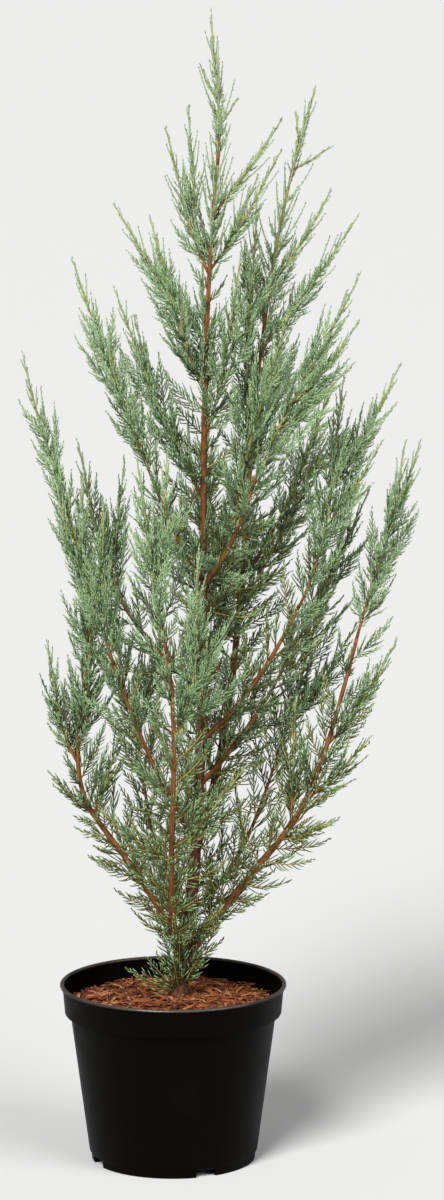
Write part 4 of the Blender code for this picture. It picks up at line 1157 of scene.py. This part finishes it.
def plastic_material(name, colour, roughness):
    """Satin moulded plastic with a dusty bloom that is a little rougher and paler in blotches.

    The rolled lip, told by its height, is polished, and a painted highlight makes its colour paler.
    """
    material, tree, shader = bare_material(name, roughness, specular=0.03)
    shader.inputs["Coat Roughness"].default_value = 0.30
    place = place_node(tree)
    dust = mottled(tree, place, shaded(colour, DUSTY), colour, scale=14.0, low=0.52, high=0.80)
    # Painted highlight on the lip: blotches of two paler tones
    lip_highlight = mottled(tree, place, *(shaded(colour, paler) for paler in LIP_HIGHLIGHT_TONES), scale=30.0)
    sheen = added(tree, "ShaderNodeMapRange", values={"To Min": roughness - 0.06, "To Max": roughness + 0.16},
                  links={"Value": dust["Mask"]})
    apart = added(tree, "ShaderNodeSeparateXYZ", links={"Vector": place})
    # Mask of the lip by its height: it sets the coat and mixes in the painted highlight
    starts, ends = (POT_HEIGHT - LIP_HEIGHT * part for part in LIP_HIGHLIGHT_PART)
    lip = added(tree, "ShaderNodeMapRange", values={"From Min": starts, "From Max": ends},
                links={"Value": apart.outputs["Z"]}).outputs["Result"]
    linked(tree, shader, {
        "Roughness": sheen.outputs["Result"],
        "Coat Weight": lip,
        "Base Color": mixed(tree, lip, dust["Color"], lip_highlight["Color"]),
    })
    grain = added(tree, "ShaderNodeTexNoise", values={"Scale": 900.0, "Detail": 2.0}, links={"Vector": place})
    bumped(tree, shader, grain.outputs["Fac"], strength=0.12, distance=0.0003)
    return material


# Pot

def body_radius(height):
    rise = (height - FOOT_HEIGHT) / (STEP_HEIGHT - FOOT_HEIGHT)
    return BODY_FOOT_RADIUS + (BODY_TOP_RADIUS - BODY_FOOT_RADIUS) * rise


def collar_radius(height):
    rise = (height - STEP_HEIGHT) / COLLAR_HEIGHT
    return COLLAR_FOOT_RADIUS + (COLLAR_TOP_RADIUS - COLLAR_FOOT_RADIUS) * rise


def softened(outline):
    """The outline with each corner replaced by a small arc, a quadratic curve between its two sides."""
    outline = np.array(outline, float)
    made = [outline[:1]]
    t = np.linspace(0, 1, CORNER_STEPS + 1)[:, None]
    for before, corner, after in zip(outline, outline[1:], outline[2:]):
        legs = [before - corner, after - corner]
        start, end = (corner + leg * min(CORNER / np.linalg.norm(leg), MOST_OF_SIDE) for leg in legs)
        made.append((1 - t) ** 2 * start + 2 * (1 - t) * t * corner + t**2 * end)
    made.append(outline[-1:])
    return np.concatenate(made)


def pot_outline():
    """(radius, height) up the outside, over the rolled lip and down the inside."""
    lip = POT_HEIGHT - LIP_HEIGHT
    bead = RIM_RADIUS - COLLAR_TOP_RADIUS + WALL
    outside = softened([
        (DRAIN_PAD_RADIUS / 2, 0.0),
        (DRAIN_PAD_RADIUS, 0.0),
        (DRAIN_PAD_RADIUS + DRAIN_SLOPE, DRAIN_ROOF),
        (FOOT_RADIUS - FOOT_RING - FOOT_SLOPE, DRAIN_ROOF),
        (FOOT_RADIUS - FOOT_RING, 0.0),
        (FOOT_RADIUS, 0.0),
        (FOOT_RADIUS + DRAFT, FOOT_HEIGHT),
        (BODY_FOOT_RADIUS, FOOT_HEIGHT + FOOT_SLOPE),
        (body_radius(STEP_HEIGHT), STEP_HEIGHT),
        (COLLAR_FOOT_RADIUS, STEP_HEIGHT + STEP_SLOPE),
        (collar_radius(lip), lip),
        (RIM_RADIUS - LIP_ROUND, lip + DRAFT),
        (RIM_RADIUS, lip + LIP_WIDEST),
    ])
    turn = np.linspace(0, math.pi, LIP_STEPS + 1)[1:]
    x = RIM_RADIUS - bead / 2 + bead / 2 * np.cos(turn)
    bead_top = np.stack([x, lip + LIP_WIDEST + (LIP_HEIGHT - LIP_WIDEST) * np.sin(turn)], axis=1)
    floor = DRAIN_ROOF + FLOOR
    inside = softened([
        (RIM_RADIUS - bead, lip),
        (COLLAR_FOOT_RADIUS - WALL, STEP_HEIGHT + WALL),
        (body_radius(STEP_HEIGHT) - WALL, STEP_HEIGHT + WALL * INNER_STEP),
        (body_radius(floor) - WALL, floor),
        (DRAIN_PAD_RADIUS - PAD_EDGE, floor),
        (DRAIN_PAD_RADIUS - PAD_FOOT, FLOOR),
        (DRAIN_PAD_RADIUS / 2, FLOOR),
    ])
    return np.concatenate([outside, bead_top, inside])


def notch_rise(bearings):
    """How high the foot's edge is cut at each bearing: the notch height inside a notch, 0 outside it."""
    around = (bearings[:, None] - NOTCHES + math.pi) % (2 * math.pi) - math.pi
    away = np.abs(around).min(axis=1) * FOOT_RADIUS
    return NOTCH_HEIGHT * eased(ramp(away, NOTCH_WIDTH / 2, -NOTCH_EDGE))


def pot_bearings():
    """Even bearings, with more at each notch's two edges."""
    insets = (NOTCH_WIDTH / 2 - NOTCH_EDGE * EDGE_SHARES) / FOOT_RADIUS
    edges = NOTCHES[:, None] + np.concatenate([-insets, insets])
    every = np.concatenate([bearings_of(POT_COLUMNS), edges.ravel() % (2 * math.pi)])
    return np.unique(np.round(every, 6))


def pot_shell():
    """The outline turned about the axis; in a notch the foot ring's low points are lifted in proportion."""
    outline = pot_outline()
    bearings = pot_bearings()
    radius = outline[:, :1]
    height = np.broadcast_to(outline[:, 1:], (len(outline), len(bearings)))
    rise = notch_rise(bearings)
    roof = FOOT_HEIGHT - ROOF_GAP
    in_ring = (radius > FOOT_RADIUS - FOOT_RING - RING_EDGE) & (radius < BODY_FOOT_RADIUS - FOOT_SLOPE)
    lifted = np.maximum(height, rise + height * (roof - rise) / roof)
    height = np.where(in_ring & (height < roof), lifted, height)
    rings = np.stack([radius * np.cos(bearings), radius * np.sin(bearings), height], axis=2)
    return closed_rings(rings, outline[0, 1], outline[-1, 1])


# Mulch

def mulch_height(x, y):
    """Mounded towards the middle, with a lumpy top and a flat landing for the trunk.

    The lumps are a product of a sine of x and one of y, and a third sine on the slant.
    """
    reach = np.hypot(x, y) / (collar_radius(MULCH_TOP) - WALL)
    (x_waves, x_shift), (y_waves, y_shift) = LUMP_WAVES
    size, x_slant, y_slant, shift = SLANT_WAVES
    lumps = np.sin(x * x_waves + x_shift) * np.sin(y * y_waves + y_shift)
    lumps = lumps + size * np.sin(x * x_slant - y * y_slant + shift)
    away = ramp(np.hypot(x - MULCH_FOOT[0], y), LANDING_RADIUS, LANDING_RADIUS)
    return MULCH_TOP - away * (MULCH_FALL * reach**MULCH_ROUND + MULCH_LUMP * (1 + lumps))


def mulch_bed():
    """The dark bed under the chips: a disc of rings at the mulch's height, closed below by a flat."""
    edge = collar_radius(MULCH_TOP - MULCH_DEPTH) - WALL - BED_GAP
    reach = edge * np.linspace(0, 1, BED_ROWS + 1)[1:, None]
    turn = bearings_of(BED_COLUMNS)
    x, y = reach * np.cos(turn), reach * np.sin(turn)
    top = np.stack([x, y, mulch_height(x, y) - BED_BELOW], axis=2)
    bottom = MULCH_TOP - MULCH_DEPTH + BED_LIFT
    rings = np.concatenate([top, top[-1:] * (1, 1, 0) + (0, 0, bottom)])
    points, faces = closed_rings(rings, mulch_height(0.0, 0.0) - BED_BELOW, bottom)
    return points, faces[:, ::-1]


def chip_shapes(count, draw):
    """Flat splinters: four cross-sections along a bent line, each a box wide in one way, ends drawn in."""
    shape, scale, least, most = CHIP_LENGTHS
    length = draw.gamma(shape, scale, count).clip(least, most)
    least_wide, widens = CHIP_WIDENS
    width = draw.uniform(*CHIP_WIDTHS, count) * (least_wide + widens * length)
    thick = draw.uniform(*CHIP_THICKNESS, count)
    columns = (np.ones(count) if limits is None else draw.uniform(*limits, count) for limits in CHIP_TAPERS)
    taper = np.stack(list(columns), axis=1)
    run, wide, sections = length[:, None], width[:, None], (count, len(CHIP_SECTIONS))
    bend = draw.normal(0, CHIP_BEND, (count, 1)) * (1 - (2 * CHIP_SECTIONS) ** 2) * run
    x = CHIP_SECTIONS * run + draw.normal(0, CHIP_SLIP, sections) * run
    skew = draw.normal(0, CHIP_SKEW, sections) * wide
    y = CHIP_CORNERS[:, 0] * (wide * taper)[:, :, None] + skew[:, :, None]
    z = CHIP_CORNERS[:, 1] * (thick[:, None] * (1 + taper) / 2)[:, :, None] + bend[:, :, None]
    points = np.stack([np.broadcast_to(x[:, :, None], y.shape), y, z], axis=3)
    return points.reshape(count, -1, 3), length


def laid_chips(count, lift, draw):
    """Splinters strewn over the mound, each turned at random and tilted a little out of the level."""
    shapes, length = chip_shapes(count, draw)
    edge = collar_radius(MULCH_TOP) - WALL - CHIP_GAP
    reach = np.sqrt(draw.uniform(0, 1, count)) * (edge - length * CHIP_INSIDE)
    bearing = draw.uniform(0, 2 * math.pi, count)
    x, y = reach * np.cos(bearing), reach * np.sin(bearing)
    height = mulch_height(x, y) + draw.uniform(-CHIP_SINKS, lift, count)
    turn = draw.uniform(0, 2 * math.pi, count)
    tilt = draw.normal(0, CHIP_TILT, count)
    roll = draw.normal(0, CHIP_ROLL, count)
    level = np.stack([np.cos(turn), np.sin(turn), np.zeros(count)], axis=1)
    across = np.stack([-np.sin(turn), np.cos(turn), np.zeros(count)], axis=1)
    along = turned(level, UP, tilt)
    square = np.cross(along, across)
    axes = np.stack([along, turned(across, square, roll), turned(square, -across, roll)], axis=1)
    return shapes @ axes + np.stack([x, y, height], axis=1)[:, None]


# Bark

def bark_tube(limb, seed, depth):
    """A limb with strips of bark in relief, as (points, triangles, map of each corner, ages, fresh).

    The radius at angle a and length s is the taper times one plus a relief: ridges of noise that is
    fine round the limb and long along it, and slow swellings. Each point's age goes by thickness, and it is
    fresh where a limb is thin and high.
    """
    length = float(lengths_of(limb.handles)[0])
    count = max(FEWEST_RINGS, int(length / BARK_STEP))
    shares = np.linspace(0, 1, count)
    centres = bezier(limb.handles, shares)[0]
    ways = heading(limb.handles, shares)[0]
    if limb.flare:
        ways = unit(ways + UP * np.exp(-shares * LEVEL_FALL)[:, None] * LEVEL_FOOT)
    run = shares[:, None] * length
    around = np.arange(BARK_SIDES) / BARK_SIDES
    ridge, fine, slow = (
        lattice_noise((around * cells + run * twist) % cells, run / step, cells, seed + order)
        for order, (cells, step, twist) in enumerate(BARK_NOISE)
    )
    relief = depth * ((0.5 - np.abs(ridge - 0.5) * 2) + FINE_DEPTH * (fine - 0.5)) + SLOW_DEPTH * (slow - 0.5)
    radius = limb.radius(shares)[:, None] * SLIM_BARK * (1 + relief)
    if not limb.flare:
        radius = radius * (1 + BRANCH_COLLAR * np.exp(-run / BRANCH_COLLAR_LENGTH))
    points = (centres[:, None] + radius[..., None] * spokes(ways, BARK_SIDES)).reshape(-1, 3)
    points = np.concatenate([points, centres[-1:] + ways[-1] * radius[-1].mean() * BLUNT_TIP])
    faces = tube_faces(BARK_SIDES, count)
    corner_u = np.append(np.tile(around, count), 0.5)[faces]
    corner_v = (np.append(np.repeat(run, BARK_SIDES), length) + seed * SEED_SHIFT)[faces]
    wraps = (corner_u.max(axis=1) - corner_u.min(axis=1) > 0.5)[:, None] & (corner_u < 0.5)
    thick = np.append(np.repeat(limb.radius(shares), BARK_SIDES), limb.radii[1])
    age = ramp(thick, YOUNG_RADIUS, OLD_RADIUS - YOUNG_RADIUS)
    fresh = ramp(thick, FRESH_RADIUS, -FRESH_SPAN) * ramp(points[:, 2], FRESH_FROM, FRESH_RISE)
    return points, faces, np.stack([corner_u + wraps, corner_v], axis=2), age, fresh


def bark_piece(name, limbs, first_seed, material, depth):
    """Limbs as one piece, with a UV map called bark and how old and how fresh each point is."""
    made = [bark_tube(limb, first_seed + SEED_STEP * order, depth) for order, limb in enumerate(limbs)]
    piece = piece_from(name, *fused([part[:2] for part in made]), material, "juniper_bark")
    uv, age, fresh = (np.concatenate(column).astype(np.float32) for column in list(zip(*made))[2:])
    piece.data.uv_layers.new(name="bark").data.foreach_set("uv", uv.ravel())
    for label, values in (("age", age), ("fresh", fresh)):
        piece.data.attributes.new(label, "FLOAT", "POINT").data.foreach_set("value", values)
    return piece


# Leaves and young stems

def spray_axes(handles):
    """The thin axes of sprays, as closed tapering tubes of four sides."""
    radii = np.linspace(*SPRAY_RADII, SPRAY_RINGS)
    return tubes(handles, radii, SPRAY_SIDES, np.linspace(0, 1, SPRAY_RINGS + 1))


def young_stems(stems, sprays, bark):
    """The stems of the masses, which stand for their nodes, and the thin axes of the oldest sprays.

    The woody foot of a stem is brown, and what follows, from a little inside the brown, green.
    """
    main = len(MASSES)
    woody = STEM_WOOD_RINGS
    shares = np.linspace(0, 1, STEM_RINGS + 1)
    wood, green = [], []
    for rows, (foot, tip) in ((slice(None, main), STEM_RADII), (slice(main, None), SIDE_STEM_RADII)):
        handles = stems.handles[rows]
        radii = foot + (tip - foot) * shares[:-1]
        wood.append(tubes(handles, radii[:woody], STEM_SIDES, shares[: woody + 1]))
        green.append(tubes(handles, radii[woody - 1 :] * OVER_WOOD, STEM_SIDES, shares[woody - 1 :]))
    green.append(spray_axes(sprays.handles))
    brown = chip_material("stem_wood", tuple(bark.young))
    piece = piece_from("stem_wood", *fused(wood), brown, "juniper_bark")
    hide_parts(*MASS_NAMES)
    fresh = chip_material("young_bark", tuple(bark.shoot))
    piece_from("green_stems", *fused(green), fresh, "juniper_foliage")


def tint_of(shoots):
    """Which tint each shoot has: the tip tint on the leading tips, the others by tone."""
    tint = np.full(len(shoots.handles), len(TINTS) - 1)
    for order in range(len(TINTS) - 1, 0, -1):
        tint[shoots.tones >= TINT_FROM[order]] = order
    tint[shoots.tones > 1] = 0
    return tint


def leaf_pieces(name, parts, material):
    """One tint's leaves, joined into pieces that each stay under the most triangles."""
    points, faces = fused(parts)
    pieces = math.ceil(len(faces) / MOST_TRIANGLES)
    height = points[faces[:, 0], 2]
    part_of = np.searchsorted(np.quantile(height, np.linspace(0, 1, pieces + 1)[1:-1]), height)
    for part in range(pieces):
        used, index = np.unique(faces[part_of == part], return_inverse=True)
        label = name if pieces == 1 else f"{name}_{part + 1}"
        piece_from(label, points[used], index.reshape(-1, 3), material, "juniper_foliage")


# Settings that a user would change

def share_property(name, description, default, least, most):
    return FloatProperty(name=name, description=description, default=default, min=least, max=most,
                         subtype="FACTOR")


def size_property(name, description, default, least):
    return FloatProperty(name=name, description=description, default=default, min=least, subtype="DISTANCE",
                         unit="LENGTH")


def colour_property(name, description, default):
    return FloatVectorProperty(name=name, description=description, default=default, size=3, min=0, max=1,
                               subtype="COLOR")


class PotSettings(bpy.types.PropertyGroup):
    plastic: colour_property("Plastic", "Colour of the pot's moulded plastic", (0.0016, 0.0012, 0.0009))
    roughness: share_property("Roughness", "Roughness of the plastic", 0.52, 0.1, 1)


class MulchSettings(bpy.types.PropertyGroup):
    chips: IntProperty(name="Chips", description="Splinters of bark on the mulch", default=3600, min=200)
    red: colour_property("Red bark", "Most of the shredded bark", (0.205, 0.058, 0.018))
    brown: colour_property("Brown bark", "Darker shreds", (0.085, 0.026, 0.012))
    tan: colour_property("Tan wood", "Freshly split, pale shreds", (0.33, 0.145, 0.062))
    bed: colour_property("Bed", "Dark fines between the shreds", (0.060, 0.021, 0.009))
    soil: colour_property("Soil", "Potting mix of the root ball", (0.035, 0.020, 0.012))


class BarkSettings(bpy.types.PropertyGroup):
    relief: share_property("Relief", "Depth of the bark's ridges as a share of the radius", 0.20, 0, 0.6)
    young: colour_property("Young bark", "Orange-brown bark of the thin boughs", (0.235, 0.092, 0.024))
    old: colour_property("Old bark", "Red-brown bark at the trunk's foot", (0.090, 0.031, 0.014))
    shoot: colour_property("Young stems", "Yellow-green bark of the young stems", (0.30, 0.29, 0.085))


class FoliageSettings(bpy.types.PropertyGroup):
    spray_spacing: size_property("Sprays", "Distance between sprays along a stem", 0.0095, 0.003)
    inner_spacing: size_property("Inner sprays", "Distance between sprays along a bough", 0.0098, 0.004)
    twig_spacing: size_property("Twigs", "Distance between twigs along a spray", 0.0034, 0.002)
    branchlet_spacing: size_property("Branchlets", "Distance between branchlets along a twig", 0.0028, 0.001)
    branchlet_radius: size_property("Branchlet", "Radius of a branchlet at its thickest", 0.00078, 0.0002)
    tip: colour_property("Tips", "Cream-green of the leading tips", (0.305, 0.395, 0.222))
    # Pale is partly painted light on the top and outside of the crown; blue-green and olive are partly
    # painted shade inside and low in the crown, beside the olive of old foliage
    pale: colour_property("Pale", "Foliage at the top and outside of the crown", (0.305, 0.430, 0.225))
    sage: colour_property("Sage", "Most of the foliage", (0.230, 0.342, 0.168))
    blue: colour_property("Blue-green", "Foliage a little way in", (0.098, 0.150, 0.076))
    olive: colour_property("Olive", "Old foliage low and deep in the crown", (0.130, 0.121, 0.029))


class StageSettings(bpy.types.PropertyGroup):
    floor: colour_property("Floor", "Colour of the studio floor", (0.62, 0.62, 0.615))
    sky: FloatProperty(name="Room light", description="Strength of the even light all round", default=0.16,
                       min=0)
    key: FloatProperty(name="Key light", description="Strength of the soft light from the front left",
                       default=4.55, min=0)
    camera_distance: size_property("Camera distance", "From the camera to the plant's axis", 6.0, 1)


# Operators

class JUNIPER_OT_pot(bpy.types.Operator):
    """Builds the moulded pot with its rolled lip, deep collar and drain notches"""

    bl_idname = "juniper.pot"
    bl_label = "Pot"

    def execute(self, context):
        settings = context.scene.juniper_pot
        plastic = plastic_material("pot_plastic", tuple(settings.plastic), settings.roughness)
        pot = piece_from("nursery_pot", *pot_shell(), plastic, "pot_plastic")
        pot.data.set_sharp_from_angle(angle=SHARP_ANGLE)
        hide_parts("pot")
        return {"FINISHED"}


class JUNIPER_OT_filling(bpy.types.Operator):
    """Builds the mulch of shredded bark, and gives the root ball its soil"""

    bl_idname = "juniper.filling"
    bl_label = "Mulch and soil"

    def execute(self, context):
        settings = context.scene.juniper_mulch
        NODES["root_ball"].data.materials.clear()
        NODES["root_ball"].data.materials.append(chip_material("potting_soil", tuple(settings.soil)))
        dark = chip_material("mulch_bed", tuple(settings.bed))
        bed = piece_from("mulch_bed", *mulch_bed(), dark, "bark_chips")
        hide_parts("bark_mulch")
        draw = np.random.default_rng(MULCH_SEED)
        for tone, share, lift in CHIP_KINDS:
            chips = laid_chips(int(settings.chips * share), lift, draw)
            chips = repeated(chips, bar_faces(len(CHIP_SECTIONS)))
            shreds = chip_material("bark_" + tone, tuple(getattr(settings, tone)))
            piece_from("mulch_" + tone, *chips, shreds, "bark_chips", smooth=False)
        return {"FINISHED"}


class JUNIPER_OT_bark(bpy.types.Operator):
    """Builds the trunk and boughs with their strips of bark in relief"""

    bl_idname = "juniper.bark"
    bl_label = "Trunk and boughs"

    def execute(self, context):
        settings = context.scene.juniper_bark
        limbs = limbs_of_tree()
        colours = (tuple(colour) for colour in (settings.young, settings.old, settings.shoot))
        bark = bark_material("juniper_bark", *colours)
        trunk = bark_piece("trunk_bark", [limbs.pop("trunk")], TRUNK_SEED, bark, settings.relief)
        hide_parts("trunk")
        boughs = bark_piece("bough_bark", limbs.values(), BOUGH_SEED, bark, settings.relief)
        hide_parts(*limbs)
        return {"FINISHED"}


class JUNIPER_OT_foliage(bpy.types.Operator):
    """Grows the stems, sprays, twigs and branchlets of the crown"""

    bl_idname = "juniper.foliage"
    bl_label = "Foliage"

    def execute(self, context):
        settings = context.scene.juniper_foliage
        stems, sprays, twigs, branchlets = grown(settings)
        spray_tint, twig_tint, branchlet_tint = (tint_of(shoots) for shoots in (sprays, twigs, branchlets))
        oldest = len(TINTS) - 1
        young_stems(stems, sprays.taken(spray_tint == oldest), context.scene.juniper_bark)
        radius = settings.branchlet_radius
        long = twigs.lengths > LONG_TWIG
        two_toned = (twigs.tones < TWO_TONED_BELOW) & (twigs.lengths > TWO_TONED_TWIG)
        paler_by = np.where(twig_tint == oldest, 2, 1)
        twig_tip = np.where(two_toned, np.maximum(twig_tint - paler_by, 1), -1)
        for order, name in enumerate(TINTS):
            short_ones, long_ones = (twigs.handles[(twig_tint == order) & kept] for kept in (~long, long))
            tips = twigs.handles[twig_tip == order]
            parts = [spindles(branchlets.handles[branchlet_tint == order], radius)]
            if order < oldest:
                parts.append(spray_axes(sprays.handles[spray_tint == order]))
            parts.append(tubes(short_ones, radius * TWIG_TAPER[:2], TWIG_SIDES, TWIG_SHARES[[0, 2, 3]]))
            parts.append(tubes(long_ones, radius * TWIG_TAPER, TWIG_SIDES, TWIG_SHARES))
            parts.append(tubes(tips, np.full(2, radius * TWIG_TIP_SWELL), TWIG_SIDES, TWIG_TIP_SHARES))
            leaves = leaf_material("leaves_" + name, tuple(getattr(settings, name)))
            leaf_pieces("foliage_" + name, parts, leaves)
        return {"FINISHED"}


class JUNIPER_OT_stage(bpy.types.Operator):
    """Sets the plain floor, the soft lights and the camera"""

    bl_idname = "juniper.stage"
    bl_label = "Stage"

    def execute(self, context):
        settings = context.scene.juniper_stage
        self.floor(tuple(settings.floor))
        self.lights(context.scene, settings)
        self.camera(context.scene, settings.camera_distance)
        return {"FINISHED"}

    def floor(self, colour):
        bearings = bearings_of(FLOOR_SIDES)
        points = FLOOR_RADIUS * np.stack([np.cos(bearings), np.sin(bearings), np.zeros(FLOOR_SIDES)], axis=1)
        mesh = bpy.data.meshes.new("studio_floor")
        mesh.from_pydata(points.tolist(), [], [tuple(range(FLOOR_SIDES))])
        mesh.materials.append(bare_material("studio_floor", roughness=0.9, colour=colour)[0])
        floor = bpy.data.objects.new("studio_floor", mesh)
        bpy.context.scene.collection.objects.link(floor)

    def lights(self, scene, settings):
        world = bpy.data.worlds.new("studio")
        world.use_nodes = True
        background = world.node_tree.nodes["Background"].inputs
        background["Color"].default_value = (1.0, 1.0, 1.0, 1.0)
        background["Strength"].default_value = settings.sky
        scene.world = world
        for name, share, width, pitch, turn in LIGHTS:
            light = bpy.data.lights.new(name, "SUN")
            light.energy = settings.key * share
            light.angle = math.radians(width)
            lamp = bpy.data.objects.new(name, light)
            lamp.rotation_euler = (math.radians(pitch), 0, math.radians(turn))
            scene.collection.objects.link(lamp)
        scene.view_settings.view_transform = "Standard"

    def camera(self, scene, distance):
        """Looks along +Y from the photograph's height, pitched down at the plant."""
        camera = bpy.data.cameras.new("camera")
        camera.lens = LENS
        camera.sensor_width = SENSOR
        camera.clip_end = SEES_TO
        eye = bpy.data.objects.new("camera", camera)
        eye.location = (EYE_ACROSS, -distance, EYE_HEIGHT)
        eye.rotation_euler = (math.pi / 2 - EYE_PITCH, 0, 0)
        scene.collection.objects.link(eye)
        scene.camera = eye


class JUNIPER_PT_panel(bpy.types.Panel):
    """Lists the pieces of the potted juniper and their settings"""

    bl_idname = "JUNIPER_PT_panel"
    bl_label = "Potted juniper"
    bl_space_type = "VIEW_3D"
    bl_region_type = "UI"
    bl_category = "Juniper"

    def draw(self, context):
        for operator, label, _ in STEPS:
            box = self.layout.box()
            box.operator(operator)
            settings = getattr(context.scene, label)
            for name in settings.bl_rna.properties.keys():
                if name not in ("rna_type", "name"):
                    box.prop(settings, name)


STEPS = (
    ("juniper.stage", "juniper_stage", StageSettings),
    ("juniper.pot", "juniper_pot", PotSettings),
    ("juniper.filling", "juniper_mulch", MulchSettings),
    ("juniper.bark", "juniper_bark", BarkSettings),
    ("juniper.foliage", "juniper_foliage", FoliageSettings),
)
CLASSES = (
    *(group for _, _, group in STEPS),
    JUNIPER_OT_pot,
    JUNIPER_OT_filling,
    JUNIPER_OT_bark,
    JUNIPER_OT_foliage,
    JUNIPER_OT_stage,
    JUNIPER_PT_panel,
)


def register():
    for known in CLASSES:
        bpy.utils.register_class(known)
    for _, label, group in STEPS:
        setattr(bpy.types.Scene, label, PointerProperty(type=group))


def unregister():
    for _, label, _ in STEPS:
        delattr(bpy.types.Scene, label)
    for known in reversed(CLASSES):
        bpy.utils.unregister_class(known)


def main():
    register()
    bpy.ops.juniper.stage()
    bpy.ops.juniper.pot()
    bpy.ops.juniper.filling()
    bpy.ops.juniper.bark()
    bpy.ops.juniper.foliage()
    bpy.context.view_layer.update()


if __name__ == "__main__":
    main()
